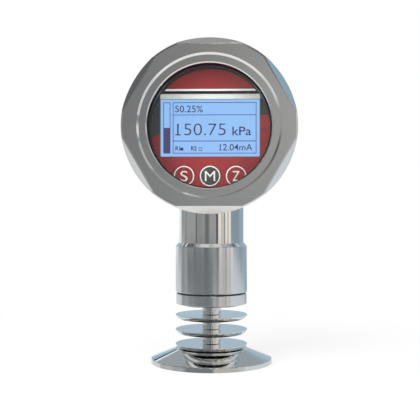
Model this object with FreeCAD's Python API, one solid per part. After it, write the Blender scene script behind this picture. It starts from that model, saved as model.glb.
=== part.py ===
"""Hygienic pressure transmitter with a round display head, each piece as its own solid.

Frame: millimetres, +Z up the process axis, origin at the centre of the clamp ferrule's
sealing face. The display looks along -Y, and the head's own axis runs along Y.
Bodies from the bottom up: clamp ferrule with a flush diaphragm, cooling neck with fins,
coupling collar with the pressure cell, sleeve that swivels on it, neck tube, display head
with a screwed lid, and a cable gland at the back.
"""
import FreeCAD
import Part
import os
from math import acos, cos, hypot, radians, sin, sqrt, tan

Vector = FreeCAD.Vector

# ---------------------------------------------------------------- driving dimensions
# Clearances
RUNNING_GAP = 0.05           # radial, between a turning or sliding piece and its guide
FACE_GAP = 0.1               # axial, between two faces that turn or slide on each other

# Small values that many pieces share
EDGE_ROUND = 0.3             # broken outer edges of turned pieces
MOULDED_ROUND = 0.6          # outer edges of moulded pieces and screw heads
SHEET_CORNER = 0.8           # corners of sheet and board pieces, seen from the front
BEYOND = 1.0                 # how far a cutting shape stands past what it cuts
HEX_BEVEL = 0.6              # bevel on a hexagon's corners: its height over its depth

# Clamp ferrule
CLAMP_DIAMETER = 64.0
CLAMP_RIM_HEIGHT = 2.4
CLAMP_RIM_ROUND = 0.4
CLAMP_BACK_SLOPE = 21.5      # degrees above the sealing face
LAND_DIAMETER = 38.0         # flat top that carries the lowest fin
GASKET_GROOVE_DIAMETER = 56.3
GASKET_GROOVE_RADIUS = 1.15

# Flush diaphragm with its oil space
DIAPHRAGM_DIAMETER = 46.0
DIAPHRAGM_THICKNESS = 0.3
DIAPHRAGM_RECESS = 0.5
DIAPHRAGM_WELD_WIDTH = 2.0
WAVE_COUNT = 5
WAVE_PITCH = 3.2
WAVE_HEIGHT = 0.3
WAVE_START = 0.2             # flat ring between the weld and the first wave
OIL_GAP = 0.45

# Capillary that leads the pressure up the stem
CAPILLARY_DIAMETER = 1.6
CAPILLARY_BORE = 0.7

# Cooling neck
STEM_DIAMETER = 10.0
STEM_ROOT_ROUND = 0.35
FIN_COUNT = 3
FIN_DIAMETER = 38.0
FIN_FOOT_DIAMETER = 33.4
FIN_THICKNESS = 2.4
FIN_EDGE = 0.35
FIN_BULGE = 0.3
FIN_PITCH = 7.75
NECK_GAP = 5.0               # free stem between the top fin and the collar
STEM_SEAT = 2.4              # how far the stem is let into the collar

# Coupling collar with the swivel spigot
COLLAR_DIAMETER = 37.5
COLLAR_HEIGHT = 5.5
COLLAR_TAPER_WIDTH = 3.0
COLLAR_TAPER_DROP = 0.8
COLLAR_EDGE = 0.3
COLLAR_FLOOR = 3.6
SPIGOT_DIAMETER = 27.0
SPIGOT_HEIGHT = 13.6
SPIGOT_THREAD_DIAMETER = 24.4
SPIGOT_THREAD_HEIGHT = 3.6
STOP_PIN_DIAMETER = 1.6
STOP_PIN_SEAT = 2.0
STOP_PIN_REACH = 2.2
STOP_WEB_ANGLE = 24.0        # degrees of solid web between the slot's two ends

# Pressure cell in the collar
CELL_DIAMETER = 21.0
CELL_HEIGHT = 8.0
CELL_STEP = 0.8
CELL_PIN_COUNT = 5
CELL_PIN_DIAMETER = 0.8
CELL_PIN_CIRCLE = 8.0
CELL_PIN_LENGTH = 5.0
CELL_PIN_SEAT = 1.5
CELL_RING_BORE = 13.0
CELL_RING_HEIGHT = 2.4

# Swivel seals, washer and nut
SWIVEL_GAP = 0.6             # the dark line between collar and sleeve
DUST_SEAL_WIDTH = 0.9
DUST_SEAL_INSET = 0.5
SWIVEL_RING_SECTION = 1.8
SWIVEL_RING_LEVEL = 6.5
SWIVEL_WASHER_HEIGHT = 0.5
SWIVEL_NUT_DIAMETER = 32.0
SWIVEL_NUT_HEIGHT = 3.0
SWIVEL_NUT_SLOT = 2.4

# Sleeve
SLEEVE_DIAMETER = 38.0
SLEEVE_HEIGHT = 24.4
SLEEVE_CHAMFER_HEIGHT = 1.8
SLEEVE_LIP = 0.15            # flat left between the top chamfer and the tube
SLEEVE_EDGE = 0.5
SLEEVE_NUT_ROOM = 0.3

# Neck tube
NECK_DIAMETER = 34.5
NECK_WALL = 2.0
NECK_SEAT = 8.0
NECK_EXPOSED = 16.0

# Head housing
HOUSING_STEP = 4.05          # from the lid's thread out to the housing's side
HOUSING_DEPTH = 42.0
HOUSING_WALL = 3.0
HOUSING_REAR_WALL = 4.0
HOUSING_REAR_ROUND = 5.0
HOUSING_SHOULDER = 3.0
LEAD_HOLE_DIAMETER = 24.0
LID_THREAD_WALL = 3.3        # of the spigot that carries the lid's thread
GLAND_BOSS_DIAMETER = 27.0
GLAND_BOSS_HEIGHT = 4.0

# Screwed lid
LID_SKIRT = 4.5              # from the thread out to the lid's side
LID_DEPTH = 20.5
LID_NECK_GAP = 0.45
LID_FLAT_INSET = 3.55        # of the six slanted flats at the front face, from the lid's side
LID_FLAT_TILT = 45.0         # degrees from the head's axis
LID_FLAT_COUNT = 6
LID_EDGE_ROUND = 1.1
LID_FLAT_EDGE = 0.4
LID_REAR_EDGE = 0.4
LID_LAND_WIDTH = 4.9         # from the window's edge to the foot of the front step
LID_RECESS_SLOPE = 1.05
LID_RECESS_DEPTH = 1.05
WINDOW_DIAMETER = 61.5
WINDOW_EDGE = 0.5
LIP_THICKNESS = 2.5
LID_RING_SECTION = 1.7
LID_RING_FROM_REAR = 1.6

# Window in the lid
GASKET_THICKNESS = 0.8
GASKET_WIDTH = 2.8
GLASS_OVERLAP = 3.05         # of the glass behind the lid's lip
GLASS_THICKNESS = 4.0
GLASS_EDGE = 0.3
RETAINER_THICKNESS = 5.05
RETAINER_WIDTH = 3.7
RETAINER_SLOT = 3.0

# Display module
MODULE_DEPTH = 16.3          # from the lid's front face back to the faceplate's front
CARRIER_ROOM = 0.46          # from the module's farthest corner to the carrier
CARRIER_WALL = 1.4
CARRIER_GAP = 0.35           # between the carrier and the housing's spigot
CARRIER_DEPTH = 9.0
FACEPLATE_THICKNESS = 0.8
LCD_WIDTH = 50.6
LCD_HEIGHT = 29.4
LCD_STRIP = 2.5              # bright strip of the frame above the LCD
LCD_SIDE_BORDER = 1.7        # of the frame, left and right of the LCD
LCD_END_BORDER = 3.0         # of the frame, above and below the LCD
LCD_FRAME_SHEET = 0.4
LCD_CORNER = 1.0
LCD_STACK_DEPTH = 5.6
LCD_GLASS_THICKNESS = 1.6
LCD_LIGHT_THICKNESS = 1.8
LCD_SPACER_WALL = 4.0        # from the frame's outside to the spacer's inside
BOARD_THICKNESS = 1.6
DISPLAY_BOARD_GAP = 10.4     # between the two boards

# Keys, named by the letters on them
KEY_NAMES = ("s", "m", "z")
KEY_DIAMETER = 10.2
KEY_PITCH = 13.2
KEY_ROOM = 1.0               # between the LCD's frame and the keys' flanges
KEY_INSET = 0.05             # front of a key behind the faceplate's front
KEY_CLEARANCE = 0.2
KEY_ROUND = 0.15
KEY_FLANGE_WIDTH = 0.6
KEY_FLANGE_THICKNESS = 0.8
KEY_STEM_DIAMETER = 3.4
KEY_TRAVEL = 0.5
KEY_STEM_IN_SWITCH = 1.4
SWITCH_SIZE = 6.2
SWITCH_HEIGHT = 3.4

# Boards, pillars and screws in the head
PILLAR_X = 22.5
PILLAR_ROOM = 3.1            # from the LCD's frame to a pillar's axis
PILLAR_ACROSS = 4.5
SCREW_DIAMETER = 2.5
SCREW_HEAD_DIAMETER = 4.2
SCREW_HEAD_HEIGHT = 1.5
SCREW_SLOT = 0.5
SCREW_GRIP = 4.0
MAIN_BOARD_DIAMETER = 64.0
BOARD_PARTS = (              # width, height, depth, place across, place up
    (9.0, 9.0, 1.6, -16.0, 15.0),
    (6.0, 8.0, 1.4, 2.0, 18.0),
    (11.0, 8.0, 6.5, 12.0, -17.0),
    (14.0, 5.0, 5.5, -9.0, -20.0),
)
TERMINAL_COUNT = 4
TERMINAL_PITCH = 7.0
TERMINAL_HEIGHT = 12.0
TERMINAL_DEPTH = 8.6
TERMINAL_LEVEL = 3.0
TERMINAL_SCREW_DIAMETER = 4.4
TERMINAL_SCREW_UP = 1.5      # above the block's middle
TERMINAL_SCREW_SLOT = 0.7
TERMINAL_SCREW_SINK = 0.8
TERMINAL_WELL_GAP = 0.2
TERMINAL_WELL_DEPTH = 5.2
WIRE_MOUTH_WIDTH = 3.6
WIRE_MOUTH_DEPTH = 3.9
WIRE_MOUTH_REACH = 3.0       # into the block from its lower side
WIRE_MOUTH_FROM_BOARD = 0.6

# Rear wall: cable gland, vent plug and earth screw
GLAND_THREAD_DIAMETER = 20.0
GLAND_ACROSS = 24.0
GLAND_HEX_HEIGHT = 5.5
GLAND_WASHER_THICKNESS = 1.5
GLAND_WASHER_DIAMETER = 25.0
GLAND_NUT_THREAD_DIAMETER = 18.0
GLAND_NUT_THREAD_LENGTH = 10.0
GLAND_BORE = 13.0
GLAND_SEAL_DIAMETER = 15.0
GLAND_SEAL_LENGTH = 9.0
GLAND_SEAL_PROUD = 1.0
CABLE_DIAMETER = 8.0
SLIP_RING_THICKNESS = 0.8
GLAND_NUT_ACROSS = 23.0
GLAND_NUT_LENGTH = 14.0
GLAND_NUT_CROWN = 3.0
GLAND_NUT_MOUTH = 11.0
GLAND_NUT_CREST = 17.0
GLAND_NUT_BEVEL = 0.9
GLAND_NUT_ROUND = 1.2
GLAND_NUT_GAP = 0.5
VENT_DROP = 27.0
VENT_THREAD_DIAMETER = 12.0
VENT_ACROSS = 14.0
VENT_HEIGHT = 5.0
VENT_INSIDE = 2.0
VENT_FILTER_DIAMETER = 6.0
VENT_FILTER_THICKNESS = 0.4
VENT_FILTER_DEPTH = 2.0
VENT_PASSAGE_DIAMETER = 2.4
EARTH_X = 24.0
EARTH_DROP = 18.0
EARTH_SCREW_DIAMETER = 4.0
EARTH_HEAD_DIAMETER = 7.6
EARTH_HEAD_HEIGHT = 2.6
EARTH_SLOT_WIDTH = 1.0
EARTH_SLOT_DEPTH = 1.2
EARTH_CLAMP_SIZE = 9.0
EARTH_CLAMP_THICKNESS = 1.6

# ---------------------------------------------------------------- the head, from the LCD outwards
LCD_FRAME_WIDTH = LCD_WIDTH + 2 * LCD_SIDE_BORDER
LCD_FRAME_HEIGHT = LCD_HEIGHT + 2 * LCD_END_BORDER
PILLAR_Z = LCD_FRAME_HEIGHT / 2 + PILLAR_ROOM
KEY_FLANGE_RADIUS = KEY_DIAMETER / 2 + KEY_FLANGE_WIDTH
KEY_DROP = LCD_FRAME_HEIGHT / 2 + KEY_ROOM + KEY_FLANGE_RADIUS
LAST_KEY = KEY_PITCH * (len(KEY_NAMES) - 1) / 2
MODULE_REACH = max(
    hypot(LCD_FRAME_WIDTH, LCD_FRAME_HEIGHT) / 2,
    hypot(PILLAR_X, PILLAR_Z) + PILLAR_ACROSS / sqrt(3),
    hypot(LAST_KEY, KEY_DROP) + KEY_FLANGE_RADIUS,
)
CARRIER_RADIUS = MODULE_REACH + CARRIER_ROOM + CARRIER_WALL
LID_THREAD_DIAMETER = 2 * (CARRIER_RADIUS + CARRIER_GAP + LID_THREAD_WALL)
HOUSING_DIAMETER = LID_THREAD_DIAMETER + 2 * HOUSING_STEP
LID_DIAMETER = LID_THREAD_DIAMETER + 2 * LID_SKIRT
LID_FLATS = LID_DIAMETER - 2 * LID_FLAT_INSET
LID_RECESS_DIAMETER = WINDOW_DIAMETER + 2 * LID_LAND_WIDTH
GLASS_DIAMETER = WINDOW_DIAMETER + 2 * GLASS_OVERLAP

# ---------------------------------------------------------------- levels up the process axis
LAND_LEVEL = CLAMP_RIM_HEIGHT + (CLAMP_DIAMETER - LAND_DIAMETER) / 2 * tan(radians(CLAMP_BACK_SLOPE))
OIL_ROOF = DIAPHRAGM_RECESS + OIL_GAP
FIN_TOP = LAND_LEVEL + FIN_THICKNESS + (FIN_COUNT - 1) * FIN_PITCH
COLLAR_BOTTOM = FIN_TOP + NECK_GAP
COLLAR_TOP = COLLAR_BOTTOM + COLLAR_TAPER_DROP + COLLAR_HEIGHT
CELL_FLOOR = COLLAR_BOTTOM + COLLAR_FLOOR
CELL_TOP = CELL_FLOOR + CELL_HEIGHT
SLEEVE_BOTTOM = COLLAR_TOP + SWIVEL_GAP
SPIGOT_TOP = COLLAR_TOP + SPIGOT_HEIGHT
SLEEVE_LEDGE = SPIGOT_TOP - SWIVEL_WASHER_HEIGHT - FACE_GAP
SLEEVE_SHOULDER = SLEEVE_BOTTOM + SLEEVE_HEIGHT
SLEEVE_TOP = SLEEVE_SHOULDER + SLEEVE_CHAMFER_HEIGHT
NECK_BOTTOM = SLEEVE_TOP - NECK_SEAT
HEAD_LEVEL = SLEEVE_TOP + NECK_EXPOSED + HOUSING_DIAMETER / 2

# Radii of the stop pin's circle and of the thin edges that several pieces share
STOP_CIRCLE = (SPIGOT_DIAMETER + SLEEVE_DIAMETER) / 4
CAPILLARY_RADIUS = CAPILLARY_DIAMETER / 2

# ---------------------------------------------------------------- places along the head's axis
LID_REAR = -(NECK_DIAMETER / 2 + LID_NECK_GAP)
LID_FRONT = LID_REAR - LID_DEPTH
LIP_FRONT = LID_FRONT + LID_RECESS_DEPTH
GASKET_FRONT = LIP_FRONT + LIP_THICKNESS
GLASS_FRONT = GASKET_FRONT + GASKET_THICKNESS
RETAINER_FRONT = GLASS_FRONT + GLASS_THICKNESS
RETAINER_REAR = RETAINER_FRONT + RETAINER_THICKNESS
THREAD_FRONT = RETAINER_REAR + 2 * FACE_GAP
HOUSING_FRONT = LID_REAR + FACE_GAP
HOUSING_REAR = HOUSING_FRONT + HOUSING_DEPTH
REAR_WALL_INSIDE = HOUSING_REAR - HOUSING_REAR_WALL
FACEPLATE_FRONT = LID_FRONT + MODULE_DEPTH
FACEPLATE_REAR = FACEPLATE_FRONT + FACEPLATE_THICKNESS
DISPLAY_BOARD_FRONT = FACEPLATE_REAR + LCD_STACK_DEPTH
DISPLAY_BOARD_REAR = DISPLAY_BOARD_FRONT + BOARD_THICKNESS
MAIN_BOARD_FRONT = DISPLAY_BOARD_REAR + DISPLAY_BOARD_GAP
MAIN_BOARD_REAR = MAIN_BOARD_FRONT + BOARD_THICKNESS
GLAND_HEX_FRONT = HOUSING_REAR + GLAND_WASHER_THICKNESS
GLAND_HEX_REAR = GLAND_HEX_FRONT + GLAND_HEX_HEIGHT
GLAND_BODY_REAR = GLAND_HEX_REAR + GLAND_NUT_THREAD_LENGTH
GLAND_SEAL_REAR = GLAND_BODY_REAR + GLAND_SEAL_PROUD
SLIP_RING_REAR = GLAND_SEAL_REAR + FACE_GAP + SLIP_RING_THICKNESS


# ---------------------------------------------------------------- helpers
def outline(corners):
    """A closed wire in the XZ plane. A corner is (x, z), or (x, z, rounding radius)."""
    count = len(corners)
    places = [Vector(corner[0], 0, corner[1]) for corner in corners]
    starts, ends, arcs = [], [], []
    for i, corner in enumerate(corners):
        place = places[i]
        before = places[i - 1] - place
        after = places[(i + 1) % count] - place
        if len(corner) == 2:
            starts.append(place)
            ends.append(place)
            arcs.append(None)
            continue
        to_before = Vector(before).normalize()
        to_after = Vector(after).normalize()
        half = acos(max(-1.0, min(1.0, to_before.dot(to_after)))) / 2
        reach = min(corner[2] / tan(half), 0.49 * min(before.Length, after.Length))
        radius = reach * tan(half)
        bisector = (to_before + to_after).normalize()
        centre = place + bisector * (radius / sin(half))
        starts.append(place + to_before * reach)
        ends.append(place + to_after * reach)
        arcs.append(centre - bisector * radius)
    edges = []
    for i in range(count):
        if arcs[i] is not None:
            edges.append(Part.Arc(starts[i], arcs[i], ends[i]).toShape())
        edges.append(Part.makeLine(ends[i], starts[(i + 1) % count]))
    return Part.Wire(edges)


def turned(corners):
    """A solid turned about Z from an outline of (radius, height) corners."""
    face = Part.Face(outline(corners))
    return face.revolve(Vector(0, 0, 0), Vector(0, 0, 1), 360)


def ring(outer_radius, inner_radius, low, high):
    """A plain ring about Z between two heights."""
    return turned([(inner_radius, low), (outer_radius, low), (outer_radius, high), (inner_radius, high)])


def disc(radius, low, high):
    """A plain round disc about Z between two heights."""
    return Part.makeCylinder(radius, high - low, Vector(0, 0, low))


def o_ring(middle_radius, section, height):
    """A round-section ring about Z."""
    return Part.makeTorus(middle_radius, section / 2, Vector(0, 0, height))


def hexagon(across, low, high):
    """A hexagonal prism about Z, measured across its flats."""
    corner = across / sqrt(3)
    points = [Vector(corner * cos(radians(60 * i)), corner * sin(radians(60 * i)), low) for i in range(6)]
    face = Part.Face(Part.makePolygon(points + points[:1]))
    return face.extrude(Vector(0, 0, high - low))


def bevelled_hexagon(across, low, high):
    """A hexagonal prism whose corners are turned off at its upper end."""
    corner = across / sqrt(3)
    envelope = turned([
        (0, low),
        (corner, low),
        (corner, high - (corner - across / 2) * HEX_BEVEL),
        (across / 2, high),
        (0, high),
    ])
    return hexagon(across, low, high).common(envelope)


def on_head_axis(shape, x=0.0, up=0.0):
    """Lay a shape built about Z along the head's axis: its height becomes the place along Y."""
    laid = shape.copy()
    laid.rotate(Vector(0, 0, 0), Vector(1, 0, 0), -90)
    laid.translate(Vector(x, 0, HEAD_LEVEL + up))
    return laid


def head_block(width, height, front, rear, x=0.0, up=0.0, corner=0.0):
    """A block centred at (x, up) from the head's axis, with rounded upright corners on request."""
    half_x, half_z = width / 2, height / 2
    rounding = (corner,) if corner else ()
    wire = outline([
        (x - half_x, up - half_z) + rounding,
        (x + half_x, up - half_z) + rounding,
        (x + half_x, up + half_z) + rounding,
        (x - half_x, up + half_z) + rounding,
    ])
    block = Part.Face(wire).extrude(Vector(0, rear - front, 0))
    block.translate(Vector(0, front, HEAD_LEVEL))
    return block


def in_rows(values_x, values_z):
    """Every pairing of two lists of offsets."""
    return [(x, z) for x in values_x for z in values_z]


# ---------------------------------------------------------------- process connection
def clamp_ferrule():
    """Clamp flange: flat face with gasket groove, round rim, conical back, flat land."""
    rim = CLAMP_DIAMETER / 2
    seat = DIAPHRAGM_DIAMETER / 2
    cavity = seat - DIAPHRAGM_WELD_WIDTH
    body = turned([
        (CAPILLARY_RADIUS, OIL_ROOF),
        (cavity, OIL_ROOF),
        (cavity, DIAPHRAGM_RECESS),
        (seat, DIAPHRAGM_RECESS),
        (seat, 0),
        (rim, 0),
        (rim, CLAMP_RIM_HEIGHT, CLAMP_RIM_ROUND),
        (LAND_DIAMETER / 2, LAND_LEVEL, EDGE_ROUND),
        (CAPILLARY_RADIUS, LAND_LEVEL),
    ])
    groove = o_ring(GASKET_GROOVE_DIAMETER / 2, 2 * GASKET_GROOVE_RADIUS, 0)
    return body.cut(groove)


def process_diaphragm():
    """Thin corrugated membrane, welded flush in the ferrule and never below its face."""
    top = DIAPHRAGM_RECESS
    outer_edge = DIAPHRAGM_DIAMETER / 2
    first = outer_edge - DIAPHRAGM_WELD_WIDTH - WAVE_START
    step = WAVE_PITCH / 2
    lower, upper = [], []
    for i in range(2 * WAVE_COUNT):
        start = first - i * step
        bulge = WAVE_HEIGHT / 2 if i % 2 else -WAVE_HEIGHT / 2
        for edges, level in ((lower, top - DIAPHRAGM_THICKNESS), (upper, top)):
            level_mid = level + bulge
            edges.append(Part.Arc(Vector(start, 0, level), Vector(start - step / 2, 0, level_mid),
                                  Vector(start - step, 0, level)).toShape())
    last = first - 2 * WAVE_COUNT * step
    low = top - DIAPHRAGM_THICKNESS
    rim_low = Part.makeLine(Vector(outer_edge, 0, low), Vector(first, 0, low))
    centre_low = Part.makeLine(Vector(last, 0, low), Vector(0, 0, low))
    axis = Part.makeLine(Vector(0, 0, low), Vector(0, 0, top))
    centre_top = Part.makeLine(Vector(0, 0, top), Vector(last, 0, top))
    rim_top = Part.makeLine(Vector(first, 0, top), Vector(outer_edge, 0, top))
    edge = Part.makeLine(Vector(outer_edge, 0, top), Vector(outer_edge, 0, low))
    wire = Part.Wire([rim_low] + lower + [centre_low, axis, centre_top] + upper[::-1] + [rim_top, edge])
    return Part.Face(wire).revolve(Vector(0, 0, 0), Vector(0, 0, 1), 360)


def sensor_capillary():
    """Fine tube from the oil space up through the stem to the pressure cell."""
    return ring(CAPILLARY_RADIUS, CAPILLARY_BORE / 2, OIL_ROOF, CELL_FLOOR)


def cooling_neck():
    """Slim stem with round fins: flat tops, thin edges and undersides that taper to a foot."""
    stem = ring(STEM_DIAMETER / 2, CAPILLARY_RADIUS, LAND_LEVEL, COLLAR_BOTTOM + STEM_SEAT)
    for i in range(FIN_COUNT):
        stem = stem.fuse(fin(LAND_LEVEL + i * FIN_PITCH))
    return stem.removeSplitter()


def fin(level):
    """One fin whose foot stands at the given level."""
    top = level + FIN_THICKNESS
    rim, foot = FIN_DIAMETER / 2, FIN_FOOT_DIAMETER / 2
    edge_low = Vector(rim, 0, top - FIN_EDGE)
    foot_edge = Vector(foot, 0, level)
    along = edge_low - foot_edge
    outward = Vector(along.z, 0, -along.x).normalize()
    middle = (edge_low + foot_edge) * 0.5 + outward * FIN_BULGE
    hub = STEM_DIAMETER / 2
    root = hub + STEM_ROOT_ROUND
    root_top = top + STEM_ROOT_ROUND
    root_middle = Vector(root - STEM_ROOT_ROUND * cos(radians(45)), 0,
                         root_top - STEM_ROOT_ROUND * sin(radians(45)))
    edges = [
        Part.makeLine(Vector(CAPILLARY_RADIUS, 0, level), foot_edge),
        Part.Arc(foot_edge, middle, edge_low).toShape(),
        Part.makeLine(edge_low, Vector(rim, 0, top)),
        Part.makeLine(Vector(rim, 0, top), Vector(root, 0, top)),
        Part.Arc(Vector(root, 0, top), root_middle, Vector(hub, 0, root_top)).toShape(),
        Part.makeLine(Vector(hub, 0, root_top), Vector(CAPILLARY_RADIUS, 0, root_top)),
        Part.makeLine(Vector(CAPILLARY_RADIUS, 0, root_top), Vector(CAPILLARY_RADIUS, 0, level)),
    ]
    return Part.Face(Part.Wire(edges)).revolve(Vector(0, 0, 0), Vector(0, 0, 1), 360)


# ---------------------------------------------------------------- collar, cell and swivel
def coupling_collar():
    """Collar with a tapered underside, a cup for the cell and a spigot for the sleeve."""
    rim = COLLAR_DIAMETER / 2
    cup = CELL_DIAMETER / 2
    spigot = SPIGOT_DIAMETER / 2
    groove_floor = spigot - SWIVEL_RING_SECTION
    groove_low = COLLAR_TOP + SWIVEL_RING_LEVEL - SWIVEL_RING_SECTION / 2 - FACE_GAP
    groove_high = groove_low + SWIVEL_RING_SECTION + 2 * FACE_GAP
    thread = SPIGOT_THREAD_DIAMETER / 2
    body = turned([
        (CAPILLARY_RADIUS, COLLAR_BOTTOM + STEM_SEAT),
        (STEM_DIAMETER / 2, COLLAR_BOTTOM + STEM_SEAT),
        (STEM_DIAMETER / 2, COLLAR_BOTTOM),
        (rim - COLLAR_TAPER_WIDTH, COLLAR_BOTTOM),
        (rim, COLLAR_BOTTOM + COLLAR_TAPER_DROP, COLLAR_EDGE),
        (rim, COLLAR_TOP, COLLAR_EDGE),
        (spigot, COLLAR_TOP),
        (spigot, groove_low),
        (groove_floor, groove_low),
        (groove_floor, groove_high),
        (spigot, groove_high),
        (spigot, SPIGOT_TOP),
        (thread, SPIGOT_TOP),
        (thread, SPIGOT_TOP + SPIGOT_THREAD_HEIGHT),
        (cup, SPIGOT_TOP + SPIGOT_THREAD_HEIGHT),
        (cup, CELL_FLOOR),
        (CAPILLARY_RADIUS, CELL_FLOOR),
    ])
    return body.cut(stop_pin())


def stop_pin():
    """Pin that stands on the collar behind the axis and runs in the sleeve's slot."""
    low = COLLAR_TOP - STOP_PIN_SEAT
    high = SLEEVE_BOTTOM + STOP_PIN_REACH
    pin = disc(STOP_PIN_DIAMETER / 2, low, high)
    pin.translate(Vector(0, STOP_CIRCLE, 0))
    return pin


def dust_seal():
    """Thin black ring in the gap between the collar and the sleeve."""
    outer = COLLAR_DIAMETER / 2 - DUST_SEAL_INSET
    return ring(outer, outer - DUST_SEAL_WIDTH, COLLAR_TOP, SLEEVE_BOTTOM - FACE_GAP)


def swivel_o_ring():
    """O-ring in the spigot's groove, just short of the sleeve's bore."""
    middle = SPIGOT_DIAMETER / 2 - SWIVEL_RING_SECTION / 2
    return o_ring(middle, SWIVEL_RING_SECTION, COLLAR_TOP + SWIVEL_RING_LEVEL)


def swivel_washer():
    """Slip washer between the sleeve's ledge and the nut."""
    return ring(SWIVEL_NUT_DIAMETER / 2, SPIGOT_DIAMETER / 2,
                SPIGOT_TOP - SWIVEL_WASHER_HEIGHT, SPIGOT_TOP)


def swivel_nut():
    """Slotted ring nut on the spigot's thread, which keeps the sleeve down."""
    outer = SWIVEL_NUT_DIAMETER / 2
    top = SPIGOT_TOP + SWIVEL_NUT_HEIGHT
    nut = ring(outer, SPIGOT_THREAD_DIAMETER / 2, SPIGOT_TOP, top)
    depth = SWIVEL_NUT_HEIGHT / 2
    slot = Part.makeBox(2 * (outer + BEYOND), SWIVEL_NUT_SLOT, depth,
                        Vector(-outer - BEYOND, -SWIVEL_NUT_SLOT / 2, top - depth))
    across = slot.copy()
    across.rotate(Vector(0, 0, 0), Vector(0, 0, 1), 90)
    return nut.cut(slot).cut(across)


def pressure_cell():
    """Sealed steel cell with a step round its top and blind sockets for its pins."""
    outer = CELL_DIAMETER / 2
    cell = turned([
        (0, CELL_FLOOR),
        (outer, CELL_FLOOR),
        (outer, CELL_TOP),
        (CELL_RING_BORE / 2, CELL_TOP),
        (CELL_RING_BORE / 2, CELL_TOP + CELL_STEP),
        (0, CELL_TOP + CELL_STEP),
    ])
    return cell.cut(cell_pins())


def cell_pins():
    """Glass-sealed contact pins, standing in a circle on the cell."""
    pins = []
    low = CELL_TOP - CELL_PIN_SEAT
    for i in range(CELL_PIN_COUNT):
        angle = radians(360 * i / CELL_PIN_COUNT)
        pin = disc(CELL_PIN_DIAMETER / 2, low, low + CELL_PIN_LENGTH)
        pin.translate(Vector(CELL_PIN_CIRCLE / 2 * cos(angle), CELL_PIN_CIRCLE / 2 * sin(angle), 0))
        pins.append(pin)
    return Part.makeCompound(pins)


def cell_retaining_ring():
    """Ring screwed into the collar's cup on top of the cell."""
    return ring(CELL_DIAMETER / 2, CELL_RING_BORE / 2, CELL_TOP, CELL_TOP + CELL_RING_HEIGHT)


def sensor_sleeve():
    """Sleeve that turns on the spigot: stop slot below, nut room and tube seat above."""
    rim = SLEEVE_DIAMETER / 2
    bore = SPIGOT_DIAMETER / 2 + RUNNING_GAP
    nut_room = SWIVEL_NUT_DIAMETER / 2 + SLEEVE_NUT_ROOM
    seat = NECK_DIAMETER / 2
    sleeve = turned([
        (bore, SLEEVE_BOTTOM),
        (rim - SLEEVE_EDGE, SLEEVE_BOTTOM),
        (rim, SLEEVE_BOTTOM + SLEEVE_EDGE),
        (rim, SLEEVE_SHOULDER, EDGE_ROUND),
        (seat + SLEEVE_LIP, SLEEVE_TOP),
        (seat, SLEEVE_TOP),
        (seat, NECK_BOTTOM),
        (nut_room, NECK_BOTTOM),
        (nut_room, SLEEVE_LEDGE),
        (bore, SLEEVE_LEDGE),
    ])
    return sleeve.cut(stop_slot())


def stop_slot():
    """Ring slot in the sleeve's lower face, with a web in front that stops the pin."""
    half = STOP_PIN_DIAMETER / 2 + 2 * RUNNING_GAP
    inner, outer = STOP_CIRCLE - half, STOP_CIRCLE + half
    low, high = SLEEVE_BOTTOM, SLEEVE_BOTTOM + STOP_PIN_REACH + 2 * FACE_GAP
    face = Part.makePolygon([Vector(inner, 0, low), Vector(outer, 0, low), Vector(outer, 0, high),
                             Vector(inner, 0, high), Vector(inner, 0, low)])
    slot = Part.Face(face).revolve(Vector(0, 0, 0), Vector(0, 0, 1), 360 - STOP_WEB_ANGLE)
    slot.rotate(Vector(0, 0, 0), Vector(0, 0, 1), -90 + STOP_WEB_ANGLE / 2)
    return slot


def neck_tube():
    """Tube from the sleeve to the head, with its top end shaped to the housing."""
    tube = ring(NECK_DIAMETER / 2, NECK_DIAMETER / 2 - NECK_WALL, NECK_BOTTOM, HEAD_LEVEL)
    return tube.cut(on_head_axis(disc(HOUSING_DIAMETER / 2, -HOUSING_DIAMETER, HOUSING_DIAMETER)))


# ---------------------------------------------------------------- head housing and lid
def head_housing():
    """Turned cup: threaded spigot, shoulder, round wall, and rear wall with its bores."""
    outer = HOUSING_DIAMETER / 2
    inner = outer - HOUSING_WALL
    thread = LID_THREAD_DIAMETER / 2
    thread_inner = thread - LID_THREAD_WALL
    gland = GLAND_THREAD_DIAMETER / 2
    boss = GLAND_BOSS_DIAMETER / 2
    shoulder_rear = HOUSING_FRONT + HOUSING_SHOULDER
    cup = on_head_axis(turned([
        (thread_inner, THREAD_FRONT, EDGE_ROUND),
        (thread, THREAD_FRONT, EDGE_ROUND),
        (thread, HOUSING_FRONT),
        (outer, HOUSING_FRONT, EDGE_ROUND),
        (outer, HOUSING_REAR, HOUSING_REAR_ROUND),
        (gland, HOUSING_REAR),
        (gland, REAR_WALL_INSIDE - GLAND_BOSS_HEIGHT),
        (boss, REAR_WALL_INSIDE - GLAND_BOSS_HEIGHT),
        (boss, REAR_WALL_INSIDE),
        (inner, REAR_WALL_INSIDE, HOUSING_REAR_ROUND - HOUSING_WALL),
        (inner, shoulder_rear),
        (thread_inner, shoulder_rear),
    ]))
    lead_hole = disc(LEAD_HOLE_DIAMETER / 2, HEAD_LEVEL - outer - BEYOND, HEAD_LEVEL - inner + BEYOND)
    vent_hole = rear_bore(VENT_THREAD_DIAMETER, 0, -VENT_DROP)
    earth_hole = rear_bore(EARTH_SCREW_DIAMETER, EARTH_X, -EARTH_DROP)
    return cup.cut(lead_hole).cut(vent_hole).cut(earth_hole)


def rear_bore(diameter, x, up):
    """A bore right through the housing's rear wall."""
    return on_head_axis(disc(diameter / 2, REAR_WALL_INSIDE - BEYOND, HOUSING_REAR + BEYOND), x, up)


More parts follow.
